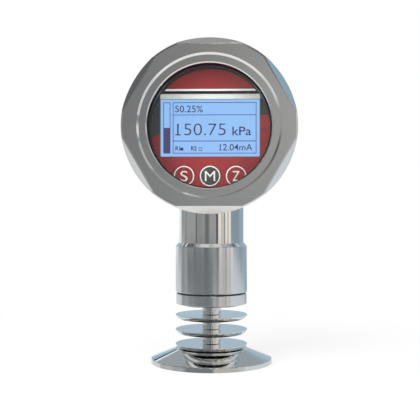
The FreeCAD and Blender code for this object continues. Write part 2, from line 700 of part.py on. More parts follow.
def flat_cutter(tilt, inset):
    """A block whose face leans back from the lid's front face, outside one flat."""
    size = LID_DIAMETER
    cutter = Part.makeBox(size, 2 * size, 2 * size, Vector(0, -size, -size))
    cutter.rotate(Vector(0, 0, 0), Vector(0, 1, 0), tilt)
    cutter.translate(Vector(LID_FLATS / 2 - inset, 0, LID_FRONT))
    return cutter


def lid_bezel():
    """Lid ring with six slanted flats, a stepped front, window opening and threaded skirt."""
    outer = LID_DIAMETER / 2
    recess = LID_RECESS_DIAMETER / 2
    window = WINDOW_DIAMETER / 2
    glass_seat = GLASS_DIAMETER / 2 + FACE_GAP
    thread = LID_THREAD_DIAMETER / 2 + RUNNING_GAP
    ring_level = LID_REAR - LID_RING_FROM_REAR
    groove_floor = thread + LID_RING_SECTION + 3 * RUNNING_GAP
    groove_front = ring_level - LID_RING_SECTION / 2 - FACE_GAP
    groove_rear = ring_level + LID_RING_SECTION / 2 + FACE_GAP
    bezel = turned([
        (recess, LID_FRONT),
        (outer, LID_FRONT, LID_EDGE_ROUND),
        (outer, LID_REAR, LID_REAR_EDGE),
        (thread, LID_REAR),
        (thread, groove_rear),
        (groove_floor, groove_rear),
        (groove_floor, groove_front),
        (thread, groove_front),
        (thread, RETAINER_REAR),
        (glass_seat, RETAINER_REAR),
        (glass_seat, GASKET_FRONT),
        (window, GASKET_FRONT),
        (window, LIP_FRONT + WINDOW_EDGE),
        (window + WINDOW_EDGE, LIP_FRONT),
        (recess - LID_RECESS_SLOPE, LIP_FRONT),
    ])
    edge_tilt = (LID_FLAT_TILT + 90) / 2
    for i in range(LID_FLAT_COUNT):
        for tilt, inset in ((LID_FLAT_TILT, 0.0), (edge_tilt, LID_FLAT_EDGE)):
            cutter = flat_cutter(tilt, inset)
            cutter.rotate(Vector(0, 0, 0), Vector(0, 0, 1), 90 + 360 * i / LID_FLAT_COUNT)
            bezel = bezel.cut(cutter)
    return on_head_axis(bezel)


def lid_o_ring():
    """O-ring carried in the lid's groove, just clear of the housing's spigot."""
    middle = LID_THREAD_DIAMETER / 2 + 2 * RUNNING_GAP + LID_RING_SECTION / 2
    return on_head_axis(o_ring(middle, LID_RING_SECTION, LID_REAR - LID_RING_FROM_REAR))


def window_gasket():
    """Flat gasket between the lid's lip and the glass."""
    outer = GLASS_DIAMETER / 2
    return on_head_axis(ring(outer, outer - GASKET_WIDTH, GASKET_FRONT, GLASS_FRONT))


def window_glass():
    """Toughened glass disc with ground edges."""
    outer = GLASS_DIAMETER / 2
    return on_head_axis(turned([
        (0, GLASS_FRONT),
        (outer - GLASS_EDGE, GLASS_FRONT),
        (outer, GLASS_FRONT + GLASS_EDGE),
        (outer, RETAINER_FRONT - GLASS_EDGE),
        (outer - GLASS_EDGE, RETAINER_FRONT),
        (0, RETAINER_FRONT),
    ]))


def window_retaining_ring():
    """Ring screwed in behind the glass, with two slots for its key."""
    outer = GLASS_DIAMETER / 2 + FACE_GAP
    body = ring(outer, outer - RETAINER_WIDTH, RETAINER_FRONT, RETAINER_REAR)
    depth = RETAINER_THICKNESS / 2
    slot = Part.makeBox(2 * (outer + BEYOND), RETAINER_SLOT, depth,
                        Vector(-outer - BEYOND, -RETAINER_SLOT / 2, RETAINER_REAR - depth))
    return on_head_axis(body.cut(slot))


# ---------------------------------------------------------------- display module
def key_places():
    """Each key's name with its offset across the faceplate."""
    return [(name, i * KEY_PITCH - LAST_KEY) for i, name in enumerate(KEY_NAMES)]


def pillar_places():
    """The four pillar axes, from the head's axis."""
    return in_rows((-PILLAR_X, PILLAR_X), (-PILLAR_Z, PILLAR_Z))


def display_carrier():
    """Black ring that stands round the display board and carries the faceplate."""
    inner = CARRIER_RADIUS - CARRIER_WALL
    return on_head_axis(ring(CARRIER_RADIUS, inner, FACEPLATE_REAR, FACEPLATE_REAR + CARRIER_DEPTH))


def faceplate():
    """Printed disc with a window for the LCD and a round hole for each key."""
    plate = on_head_axis(disc(CARRIER_RADIUS, FACEPLATE_FRONT, FACEPLATE_REAR))
    window = head_block(LCD_WIDTH, LCD_HEIGHT + LCD_STRIP, FACEPLATE_FRONT - BEYOND,
                        FACEPLATE_REAR + BEYOND, up=LCD_STRIP / 2, corner=LCD_CORNER)
    plate = plate.cut(window)
    hole_radius = KEY_DIAMETER / 2 + KEY_CLEARANCE
    for _, x in key_places():
        hole = disc(hole_radius, FACEPLATE_FRONT - BEYOND, FACEPLATE_REAR + BEYOND)
        plate = plate.cut(on_head_axis(hole, x, -KEY_DROP))
    return plate


def lcd_frame():
    """Bent sheet frame round the LCD, standing on the display board."""
    sheet = LCD_FRAME_SHEET
    shell = head_block(LCD_FRAME_WIDTH, LCD_FRAME_HEIGHT, FACEPLATE_REAR, DISPLAY_BOARD_FRONT,
                       corner=SHEET_CORNER)
    hollow = head_block(LCD_FRAME_WIDTH - 2 * sheet, LCD_FRAME_HEIGHT - 2 * sheet,
                        FACEPLATE_REAR + sheet, DISPLAY_BOARD_FRONT)
    opening = head_block(LCD_WIDTH, LCD_HEIGHT, FACEPLATE_REAR, DISPLAY_BOARD_FRONT)
    return shell.cut(hollow).cut(opening)


def lcd_layer(front, thickness):
    """One flat layer that fills the LCD frame from side to side."""
    sheet = LCD_FRAME_SHEET
    return head_block(LCD_FRAME_WIDTH - 2 * sheet, LCD_FRAME_HEIGHT - 2 * sheet, front, front + thickness)


def lcd_panel():
    """The LCD's glass, directly behind the frame's opening."""
    return lcd_layer(FACEPLATE_REAR + LCD_FRAME_SHEET, LCD_GLASS_THICKNESS)


def lcd_backlight():
    """Light guide behind the glass."""
    return lcd_layer(FACEPLATE_REAR + LCD_FRAME_SHEET + LCD_GLASS_THICKNESS, LCD_LIGHT_THICKNESS)


def lcd_spacer():
    """Plastic frame that holds the layers off the display board."""
    front = FACEPLATE_REAR + LCD_FRAME_SHEET + LCD_GLASS_THICKNESS + LCD_LIGHT_THICKNESS
    block = lcd_layer(front, DISPLAY_BOARD_FRONT - front)
    hollow = head_block(LCD_FRAME_WIDTH - 2 * LCD_SPACER_WALL, LCD_FRAME_HEIGHT - 2 * LCD_SPACER_WALL,
                        front, DISPLAY_BOARD_FRONT)
    return block.cut(hollow)


def key_cap(x):
    """Key: a round cap in its hole, a flange behind the faceplate and a stem to its switch."""
    cap, flange = KEY_DIAMETER / 2, KEY_FLANGE_RADIUS
    stem = KEY_STEM_DIAMETER / 2
    front = FACEPLATE_FRONT + KEY_INSET
    flange_front = FACEPLATE_REAR + RUNNING_GAP
    flange_rear = flange_front + KEY_FLANGE_THICKNESS
    stem_end = DISPLAY_BOARD_FRONT - SWITCH_HEIGHT + KEY_STEM_IN_SWITCH
    return on_head_axis(turned([
        (0, front),
        (cap, front, KEY_ROUND),
        (cap, flange_front),
        (flange, flange_front),
        (flange, flange_rear),
        (stem, flange_rear),
        (stem, stem_end),
        (0, stem_end),
    ]), x, -KEY_DROP)


def key_switches():
    """A square switch on the display board behind each key, open in front for its stem."""
    front = DISPLAY_BOARD_FRONT - SWITCH_HEIGHT
    room = KEY_STEM_IN_SWITCH + KEY_TRAVEL + FACE_GAP
    switches = []
    for _, x in key_places():
        block = head_block(SWITCH_SIZE, SWITCH_SIZE, front, DISPLAY_BOARD_FRONT, x, -KEY_DROP)
        bore = disc(KEY_STEM_DIAMETER / 2 + 2 * RUNNING_GAP, front - BEYOND, front + room)
        switches.append(block.cut(on_head_axis(bore, x, -KEY_DROP)))
    return Part.makeCompound(switches)


def display_board():
    """Round board that carries the LCD and the key switches."""
    board = on_head_axis(disc(CARRIER_RADIUS - CARRIER_WALL, DISPLAY_BOARD_FRONT, DISPLAY_BOARD_REAR))
    for x, up in pillar_places():
        hole = disc(SCREW_DIAMETER / 2, DISPLAY_BOARD_FRONT, DISPLAY_BOARD_REAR)
        board = board.cut(on_head_axis(hole, x, up))
    return board


def module_screws():
    """Slotted screws through the display board into the front pillars."""
    head, shank = SCREW_HEAD_DIAMETER / 2, SCREW_DIAMETER / 2
    front = DISPLAY_BOARD_FRONT - SCREW_HEAD_HEIGHT
    screws = []
    for x, up in pillar_places():
        screw = turned([
            (0, front),
            (head, front, EDGE_ROUND),
            (head, DISPLAY_BOARD_FRONT),
            (shank, DISPLAY_BOARD_FRONT),
            (shank, DISPLAY_BOARD_REAR + SCREW_GRIP),
            (0, DISPLAY_BOARD_REAR + SCREW_GRIP),
        ])
        slot = Part.makeBox(2 * (head + BEYOND), SCREW_SLOT, SCREW_HEAD_HEIGHT / 2,
                            Vector(-head - BEYOND, -SCREW_SLOT / 2, front))
        screws.append(on_head_axis(screw.cut(slot), x, up))
    return Part.makeCompound(screws)


def front_pillars():
    """Hexagonal pillars between the two boards, bored for the module screws."""
    pillars = []
    for x, up in pillar_places():
        pillar = hexagon(PILLAR_ACROSS, DISPLAY_BOARD_REAR, MAIN_BOARD_FRONT)
        bore = disc(SCREW_DIAMETER / 2, DISPLAY_BOARD_REAR, DISPLAY_BOARD_REAR + SCREW_GRIP + BEYOND)
        pillars.append(on_head_axis(pillar.cut(bore), x, up))
    return Part.makeCompound(pillars)


def rear_pillars():
    """Hexagonal pillars from the main board back to the housing's rear wall."""
    pillars = []
    for x, up in pillar_places():
        pillars.append(on_head_axis(hexagon(PILLAR_ACROSS, MAIN_BOARD_REAR, REAR_WALL_INSIDE), x, up))
    return Part.makeCompound(pillars)


def main_board():
    """Round main board between the pillars."""
    return on_head_axis(disc(MAIN_BOARD_DIAMETER / 2, MAIN_BOARD_FRONT, MAIN_BOARD_REAR))


def board_parts():
    """Chips, a transformer and a plug socket on the main board's front."""
    blocks = []
    for width, height, depth, x, up in BOARD_PARTS:
        front = MAIN_BOARD_FRONT - depth
        blocks.append(head_block(width, height, front, MAIN_BOARD_FRONT, x, up, corner=EDGE_ROUND))
    return Part.makeCompound(blocks)


def terminal_places():
    """Where each terminal stands across the block."""
    return [(i - (TERMINAL_COUNT - 1) / 2) * TERMINAL_PITCH for i in range(TERMINAL_COUNT)]


def terminal_block():
    """Terminal block on the main board, with a screw well and a wire mouth for each pole."""
    front = MAIN_BOARD_FRONT - TERMINAL_DEPTH
    block = head_block(TERMINAL_COUNT * TERMINAL_PITCH, TERMINAL_HEIGHT, front, MAIN_BOARD_FRONT,
                       up=TERMINAL_LEVEL, corner=SHEET_CORNER)
    well_radius = TERMINAL_SCREW_DIAMETER / 2 + TERMINAL_WELL_GAP
    mouth_rear = MAIN_BOARD_FRONT - WIRE_MOUTH_FROM_BOARD
    mouth_up = TERMINAL_LEVEL - TERMINAL_HEIGHT / 2 + WIRE_MOUTH_REACH / 2
    for x in terminal_places():
        well = disc(well_radius, front - BEYOND, front + TERMINAL_WELL_DEPTH)
        block = block.cut(on_head_axis(well, x, TERMINAL_LEVEL + TERMINAL_SCREW_UP))
        block = block.cut(head_block(WIRE_MOUTH_WIDTH, WIRE_MOUTH_REACH, mouth_rear - WIRE_MOUTH_DEPTH,
                                     mouth_rear, x, mouth_up))
    return block


def terminal_screws():
    """A slotted screw in each terminal's well."""
    front = MAIN_BOARD_FRONT - TERMINAL_DEPTH
    top = front + TERMINAL_SCREW_SINK
    radius = TERMINAL_SCREW_DIAMETER / 2
    screws = []
    for x in terminal_places():
        screw = disc(radius, top, front + TERMINAL_WELL_DEPTH)
        slot = Part.makeBox(2 * (radius + BEYOND), TERMINAL_SCREW_SLOT, TERMINAL_SCREW_SLOT,
                            Vector(-radius - BEYOND, -TERMINAL_SCREW_SLOT / 2, top))
        screws.append(on_head_axis(screw.cut(slot), x, TERMINAL_LEVEL + TERMINAL_SCREW_UP))
    return Part.makeCompound(screws)


# ---------------------------------------------------------------- rear wall
def gland_washer():
    """Flat seal under the gland's hexagon."""
    outer, inner = GLAND_WASHER_DIAMETER / 2, GLAND_THREAD_DIAMETER / 2
    return on_head_axis(ring(outer, inner, HOUSING_REAR, GLAND_HEX_FRONT))


def gland_body():
    """Gland screwed into the rear wall: hexagon, cap thread and a socket for the seal."""
    shank = GLAND_THREAD_DIAMETER / 2
    thread = GLAND_NUT_THREAD_DIAMETER / 2
    inside = REAR_WALL_INSIDE - GLAND_BOSS_HEIGHT
    shank_part = disc(shank, inside, GLAND_HEX_FRONT)
    hex_part = bevelled_hexagon(GLAND_ACROSS, GLAND_HEX_FRONT, GLAND_HEX_REAR)
    thread_part = turned([
        (0, GLAND_HEX_REAR),
        (thread, GLAND_HEX_REAR),
        (thread, GLAND_BODY_REAR, EDGE_ROUND),
        (0, GLAND_BODY_REAR),
    ])
    solid = shank_part.fuse(hex_part).fuse(thread_part)
    bore = disc(GLAND_BORE / 2, inside - BEYOND, GLAND_BODY_REAR + BEYOND)
    seat_front = GLAND_SEAL_REAR - GLAND_SEAL_LENGTH
    socket = disc(GLAND_SEAL_DIAMETER / 2, seat_front, GLAND_BODY_REAR + BEYOND)
    return on_head_axis(solid.cut(bore).cut(socket).removeSplitter())


def gland_seal():
    """Rubber seal that closes on the cable."""
    outer, bore = GLAND_SEAL_DIAMETER / 2, CABLE_DIAMETER / 2
    front = GLAND_SEAL_REAR - GLAND_SEAL_LENGTH
    return on_head_axis(turned([
        (bore, front),
        (outer, front),
        (outer, GLAND_SEAL_REAR, MOULDED_ROUND),
        (bore, GLAND_SEAL_REAR),
    ]))


def gland_slip_ring():
    """Thin ring that lets the cap nut turn without dragging the seal."""
    outer, inner = GLAND_SEAL_DIAMETER / 2, GLAND_NUT_MOUTH / 2
    return on_head_axis(ring(outer, inner, SLIP_RING_REAR - SLIP_RING_THICKNESS, SLIP_RING_REAR))


def gland_nut():
    """Cap nut: hexagon below, rounded crown above, mouth for the cable."""
    front = GLAND_HEX_REAR + GLAND_NUT_GAP
    rear = front + GLAND_NUT_LENGTH
    corner = GLAND_NUT_ACROSS / sqrt(3)
    flat = GLAND_NUT_ACROSS / 2
    crown_front = rear - GLAND_NUT_CROWN
    envelope = turned([
        (0, front),
        (flat, front),
        (corner, front + GLAND_NUT_BEVEL),
        (corner, crown_front - GLAND_NUT_ROUND),
        (flat, crown_front),
        (GLAND_NUT_CREST / 2, rear, GLAND_NUT_ROUND),
        (0, rear),
    ])
    nut = hexagon(GLAND_NUT_ACROSS, front, rear).common(envelope)
    thread = GLAND_NUT_THREAD_DIAMETER / 2 + RUNNING_GAP
    shoulder = SLIP_RING_REAR + FACE_GAP
    room = disc(thread, front - BEYOND, shoulder)
    mouth = disc(GLAND_NUT_MOUTH / 2, front, rear + BEYOND)
    return on_head_axis(nut.cut(room).cut(mouth))


def vent_plug():
    """Breather screwed into the rear wall, with a hole from the filter to the inside."""
    inside = REAR_WALL_INSIDE - VENT_INSIDE
    top = HOUSING_REAR + VENT_HEIGHT
    shank = disc(VENT_THREAD_DIAMETER / 2, inside, HOUSING_REAR)
    head = bevelled_hexagon(VENT_ACROSS, HOUSING_REAR, top)
    socket = disc(VENT_FILTER_DIAMETER / 2, top - VENT_FILTER_DEPTH, top + BEYOND)
    passage = disc(VENT_PASSAGE_DIAMETER / 2, inside - BEYOND, top)
    return on_head_axis(shank.fuse(head).cut(socket).cut(passage).removeSplitter(), 0, -VENT_DROP)


def vent_filter():
    """Membrane disc in the vent plug's mouth."""
    low = HOUSING_REAR + VENT_HEIGHT - VENT_FILTER_DEPTH
    return on_head_axis(disc(VENT_FILTER_DIAMETER / 2, low, low + VENT_FILTER_THICKNESS), 0, -VENT_DROP)


def earth_clamp():
    """Square clamp plate under the earth screw's head."""
    seat = HOUSING_REAR + EARTH_CLAMP_THICKNESS
    plate = head_block(EARTH_CLAMP_SIZE, EARTH_CLAMP_SIZE, HOUSING_REAR, seat,
                       EARTH_X, -EARTH_DROP, corner=SHEET_CORNER)
    return plate.cut(earth_screw())


def earth_screw():
    """Slotted earth screw in the rear wall."""
    head, shank = EARTH_HEAD_DIAMETER / 2, EARTH_SCREW_DIAMETER / 2
    seat = HOUSING_REAR + EARTH_CLAMP_THICKNESS
    top = seat + EARTH_HEAD_HEIGHT
    screw = turned([
        (0, REAR_WALL_INSIDE),
        (shank, REAR_WALL_INSIDE),
        (shank, seat),
        (head, seat),
        (head, top, MOULDED_ROUND),
        (0, top),
    ])
    slot = Part.makeBox(2 * (head + BEYOND), EARTH_SLOT_WIDTH, EARTH_SLOT_DEPTH,
                        Vector(-head - BEYOND, -EARTH_SLOT_WIDTH / 2, top - EARTH_SLOT_DEPTH))
    return on_head_axis(screw.cut(slot), EARTH_X, -EARTH_DROP)


# ---------------------------------------------------------------- all the pieces
def build_pieces():
    """Every node's name with its solid."""
    pieces = {
        "clamp_ferrule": clamp_ferrule(),
        "process_diaphragm": process_diaphragm(),
        "sensor_capillary": sensor_capillary(),
        "cooling_neck": cooling_neck(),
        "coupling_collar": coupling_collar(),
        "stop_pin": stop_pin(),
        "dust_seal": dust_seal(),
        "swivel_o_ring": swivel_o_ring(),
        "swivel_washer": swivel_washer(),
        "swivel_nut": swivel_nut(),
        "pressure_cell": pressure_cell(),
        "cell_pins": cell_pins(),
        "cell_retaining_ring": cell_retaining_ring(),
        "sensor_sleeve": sensor_sleeve(),
        "neck_tube": neck_tube(),
        "head_housing": head_housing(),
        "lid_bezel": lid_bezel(),
        "lid_o_ring": lid_o_ring(),
        "window_gasket": window_gasket(),
        "window_glass": window_glass(),
        "window_retaining_ring": window_retaining_ring(),
        "display_carrier": display_carrier(),
        "faceplate": faceplate(),
        "lcd_frame": lcd_frame(),
        "lcd_panel": lcd_panel(),
        "lcd_backlight": lcd_backlight(),
        "lcd_spacer": lcd_spacer(),
        "key_switches": key_switches(),
        "display_board": display_board(),
        "module_screws": module_screws(),
        "front_pillars": front_pillars(),
        "rear_pillars": rear_pillars(),
        "main_board": main_board(),
        "board_parts": board_parts(),
        "terminal_block": terminal_block(),
        "terminal_screws": terminal_screws(),
        "gland_washer": gland_washer(),
        "gland_body": gland_body(),
        "gland_seal": gland_seal(),
        "gland_slip_ring": gland_slip_ring(),
        "gland_nut": gland_nut(),
        "vent_plug": vent_plug(),
        "vent_filter": vent_filter(),
        "earth_clamp": earth_clamp(),
        "earth_screw": earth_screw(),
    }
    for name, x in key_places():
        pieces["key_" + name] = key_cap(x)
    return pieces


os.makedirs("parts", exist_ok=True)
for node, solid in build_pieces().items():
    solid.exportStep("parts/" + node + ".step")
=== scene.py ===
# %% [markdown]
# # A hygienic pressure transmitter with a lit display
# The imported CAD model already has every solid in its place. This lesson gives each of them
# the finish it has in the works, prints the faceplate, draws the readings on the display, and
# sets up a small studio. Blender measures in metres; the helper `mm` keeps the text readable.

# %% Load the frame and keep its box
import math

import bmesh
import bpy
import numpy as np
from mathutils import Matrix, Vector


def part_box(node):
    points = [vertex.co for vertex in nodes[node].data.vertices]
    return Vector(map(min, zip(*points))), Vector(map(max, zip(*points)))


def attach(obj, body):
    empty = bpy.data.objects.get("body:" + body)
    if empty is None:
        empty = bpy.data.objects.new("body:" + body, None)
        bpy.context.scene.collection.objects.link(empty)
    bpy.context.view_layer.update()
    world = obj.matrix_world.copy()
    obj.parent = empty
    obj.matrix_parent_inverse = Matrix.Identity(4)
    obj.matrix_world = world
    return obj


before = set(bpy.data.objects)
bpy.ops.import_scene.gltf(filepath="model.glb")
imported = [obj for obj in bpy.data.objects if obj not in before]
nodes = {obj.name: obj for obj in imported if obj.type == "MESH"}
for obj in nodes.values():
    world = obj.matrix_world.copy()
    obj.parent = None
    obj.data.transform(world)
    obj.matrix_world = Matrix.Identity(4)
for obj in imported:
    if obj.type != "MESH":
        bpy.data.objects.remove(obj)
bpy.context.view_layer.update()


def mm(value):
    """Millimetres to metres."""
    return value / 1000


def paint(red, green, blue):
    """A colour as a screen shows it, 0 to 255 a channel, to the linear light that shaders use."""
    share = np.array([red, green, blue]) / 255
    linear = np.where(share <= 0.04045, share / 12.92, ((share + 0.055) / 1.055) ** 2.4)
    return tuple(float(v) for v in linear) + (1.0,)


# %% [markdown]
# ## Places
# Print and readings are measured from the head's axis, which is the middle of the round lid. That
# axis, and where the sleeve, the display and the keys are, come from the boxes of the nodes.

# %% Places taken from the frame
lid_low, lid_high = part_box("lid_bezel")
head_level = (lid_low.z + lid_high.z) / 2
lid_front = -lid_low.y * 1000
sleeve_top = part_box("sensor_sleeve")[1].z * 1000
lcd_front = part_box("lcd_panel")[0].y
key_boxes = {name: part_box("key_" + name) for name in "smz"}
print("head axis at", round(head_level * 1000, 2), "mm, sleeve up to", round(sleeve_top, 2), "mm")

# %% [markdown]
# ## Camera
# A product picture of a tall thin object is taken from some way off with a long lens, at half
# the object's height, so that its upright edges stay upright. The camera stands a little to the
# right of the display's own axis.

# %% Camera
camera_distance = mm(458)
camera_turn = math.radians(1.75)
camera_height = mm(84)
look_at = Vector((mm(-0.75), 0.0, mm(80.8)))

lens = bpy.data.cameras.new("camera")
lens.lens = 73.7
lens.sensor_width = 36.0
lens.clip_start = mm(10)
camera = bpy.data.objects.new("camera", lens)
bpy.context.collection.objects.link(camera)
camera.location = (camera_distance * math.sin(camera_turn),
                   -camera_distance * math.cos(camera_turn),
                   camera_height)
camera.rotation_mode = "QUATERNION"
camera.rotation_quaternion = (look_at - camera.location).to_track_quat("-Z", "Y")
bpy.context.scene.camera = camera
bpy.context.scene.view_settings.view_transform = "Standard"
print("camera", [round(v * 1000, 1) for v in camera.location], "mm")

# %% [markdown]
# ## Small helpers for node trees
# A material or a world is a tree of nodes joined by links. Written out, each node takes several
# lines, so two helpers keep the cells short: `place` adds a node and fills its sockets, and `calc`
# does the same for one Math node. A node group is a tree that other trees use as one node: what
# several finishes share is made once as a group, and each finish only sets its own numbers.

# %% Helpers for nodes


def place(tree, kind, settings=None, **sockets):
    """Adds a node. `settings` are its properties; a socket gets a value, or a link from a socket.

    A socket is named by its title, with _ for a space, or by its number, as i0, i1 and so on.
    """
    node = tree.nodes.new(kind)
    for name, value in (settings or {}).items():
        setattr(node, name, value)
    for name, value in sockets.items():
        key = int(name[1:]) if name[0] == "i" and name[1:].isdigit() else name.replace("_", " ")
        socket = node.inputs[key]
        if isinstance(value, bpy.types.NodeSocket):
            tree.links.new(value, socket)
        else:
            socket.default_value = value
    return node


def calc(tree, operation, *values, clamp=False):
    """One Math node. Returns its result."""
    settings = {"operation": operation, "use_clamp": clamp}
    numbered = {"i%d" % i: value for i, value in enumerate(values)}
    return place(tree, "ShaderNodeMath", settings, **numbered).outputs[0]


def length_of(tree, vector):
    """The length of a vector."""
    return place(tree, "ShaderNodeVectorMath", {"operation": "LENGTH"}, i0=vector).outputs["Value"]


def smooth_step(tree, value, **limits):
    """A smooth slope from i1 to i2 of the value, with i3 and i4, or 0 and 1, as its results."""
    settings = {"interpolation_type": "SMOOTHSTEP"}
    return place(tree, "ShaderNodeMapRange", settings, i0=value, **limits).outputs[0]


def mix_colour(tree, factor, first, second, blend="MIX"):
    """Blends two colours: the first where factor is 0, the second where it is 1."""
    settings = {"data_type": "RGBA", "blend_type": blend}
    return place(tree, "ShaderNodeMix", settings, i0=factor, i6=first, i7=second).outputs[2]


def object_place(tree):
    """The point being shaded, in the object's own coordinates."""
    return place(tree, "ShaderNodeTexCoord").outputs["Object"]


print("node helpers ready, in Blender", bpy.app.version_string)

# %% Helpers for groups and materials


def new_group(name, inputs, outputs):
    """An empty shader node group with named float, vector and colour sockets."""
    tree = bpy.data.node_groups.new(name, "ShaderNodeTree")
    kinds = {"float": "NodeSocketFloat", "vector": "NodeSocketVector", "colour": "NodeSocketColor"}
    for title, kind, value in inputs:
        socket = tree.interface.new_socket(name=title, in_out="INPUT", socket_type=kinds[kind])
        if value is not None:
            socket.default_value = value
    for title, kind in outputs:
        tree.interface.new_socket(name=title, in_out="OUTPUT", socket_type=kinds[kind])
    return tree, tree.nodes.new("NodeGroupInput").outputs, tree.nodes.new("NodeGroupOutput").inputs


def use_group(tree, group, **sockets):
    """Puts a node group into a tree and fills its sockets. Returns its outputs."""
    return place(tree, "ShaderNodeGroup", {"node_tree": group}, **sockets).outputs


def new_material(name):
    """A material with an empty tree, and the socket that its surface goes into."""
    material = bpy.data.materials.new(name)
    material.use_nodes = True
    tree = material.node_tree
    tree.nodes.clear()
    return material, tree, tree.nodes.new("ShaderNodeOutputMaterial").inputs["Surface"]


print("packed materials, to be replaced:", len(bpy.data.materials))

# %% [markdown]
# ## The studio
# Bare steel has no colour of its own: what we see on it is the room. So the room is designed as
# carefully as the object. It could be built from lit panels, but thin panels near a small object
# are hard to aim. Here it is a world shader, a picture on the sphere of directions, that only
# mirrored rays see: grey walls in front, a cool blue side on the right, cream window light
# between them, a darker corner on the left. Everything that is not metal is lit by an even,
# neutral light, so its paint shows as it was mixed, and the camera itself sees plain white.
#
# A studio card is a soft-edged rectangle among the directions, given by its azimuth (0 is in
# front of the display, 90 to its right) and its elevation, in degrees. Its slope, where it has
# one, tips it: so many degrees up for each degree to the right.

# %% Group: a soft card among the directions
card, given, result = new_group(
    "studio card",
    [("Azimuth", "float", None), ("Elevation", "float", None), ("Centre", "float", 0.0),
     ("Height", "float", 0.0), ("Half width", "float", 10.0), ("Half height", "float", 10.0),
     ("Softness", "float", 4.0), ("Slope", "float", 0.0)],
    [("Mask", "float")])
# how far aside of the card's centre, wrapped round the circle, and how far above its middle line
aside = calc(card, "WRAP", calc(card, "SUBTRACT", given["Azimuth"], given["Centre"]), 180.0, -180.0)
middle = calc(card, "ADD", given["Height"], calc(card, "MULTIPLY", aside, given["Slope"]))
above = calc(card, "SUBTRACT", given["Elevation"], middle)
soft_inside = calc(card, "MULTIPLY", given["Softness"], -1.0)
edges = []
for offset, half in ((aside, "Half width"), (above, "Half height")):
    inside = calc(card, "SUBTRACT", given[half], calc(card, "ABSOLUTE", offset))
    edges.append(smooth_step(card, inside, i1=soft_inside, i2=given["Softness"]))
card.links.new(calc(card, "MULTIPLY", *edges), result["Mask"])
print("card group has", len(card.nodes), "nodes")

# %% An empty world that knows its directions
world = bpy.data.worlds.new("studio")
bpy.context.scene.world = world
world.use_nodes = True
sky = world.node_tree
sky.nodes.clear()
generated = place(sky, "ShaderNodeTexCoord").outputs["Generated"]
x_way, y_way, z_way = place(sky, "ShaderNodeSeparateXYZ", i0=generated).outputs
azimuth = calc(sky, "DEGREES", calc(sky, "ARCTAN2", x_way, calc(sky, "MULTIPLY", y_way, -1.0)))
elevation = calc(sky, "DEGREES", calc(sky, "ARCSINE", z_way))


def hang_card(room, spot, half_size, softness, colour, slope=0.0):
    """Lays one card over the room's colours so far, and returns the new colours."""
    mask = use_group(sky, card, Azimuth=azimuth, Elevation=elevation, Centre=spot[0], Height=spot[1],
                     Half_width=half_size[0], Half_height=half_size[1], Softness=softness, Slope=slope)
    return mix_colour(sky, mask["Mask"], room, colour)


print("world", world.name, "ready for its cards")

# %% [markdown]
# ## The cards
# A cylinder mirrors the walls at eye level as upright stripes, the slanted flats of the lid and
# the bevels look higher, and the undersides look down. So the cards are sorted by elevation, and
# a card lies over those before it. A dark thin card beside a bright one is what makes steel look
# like steel: a smooth gradient alone would look like plastic.

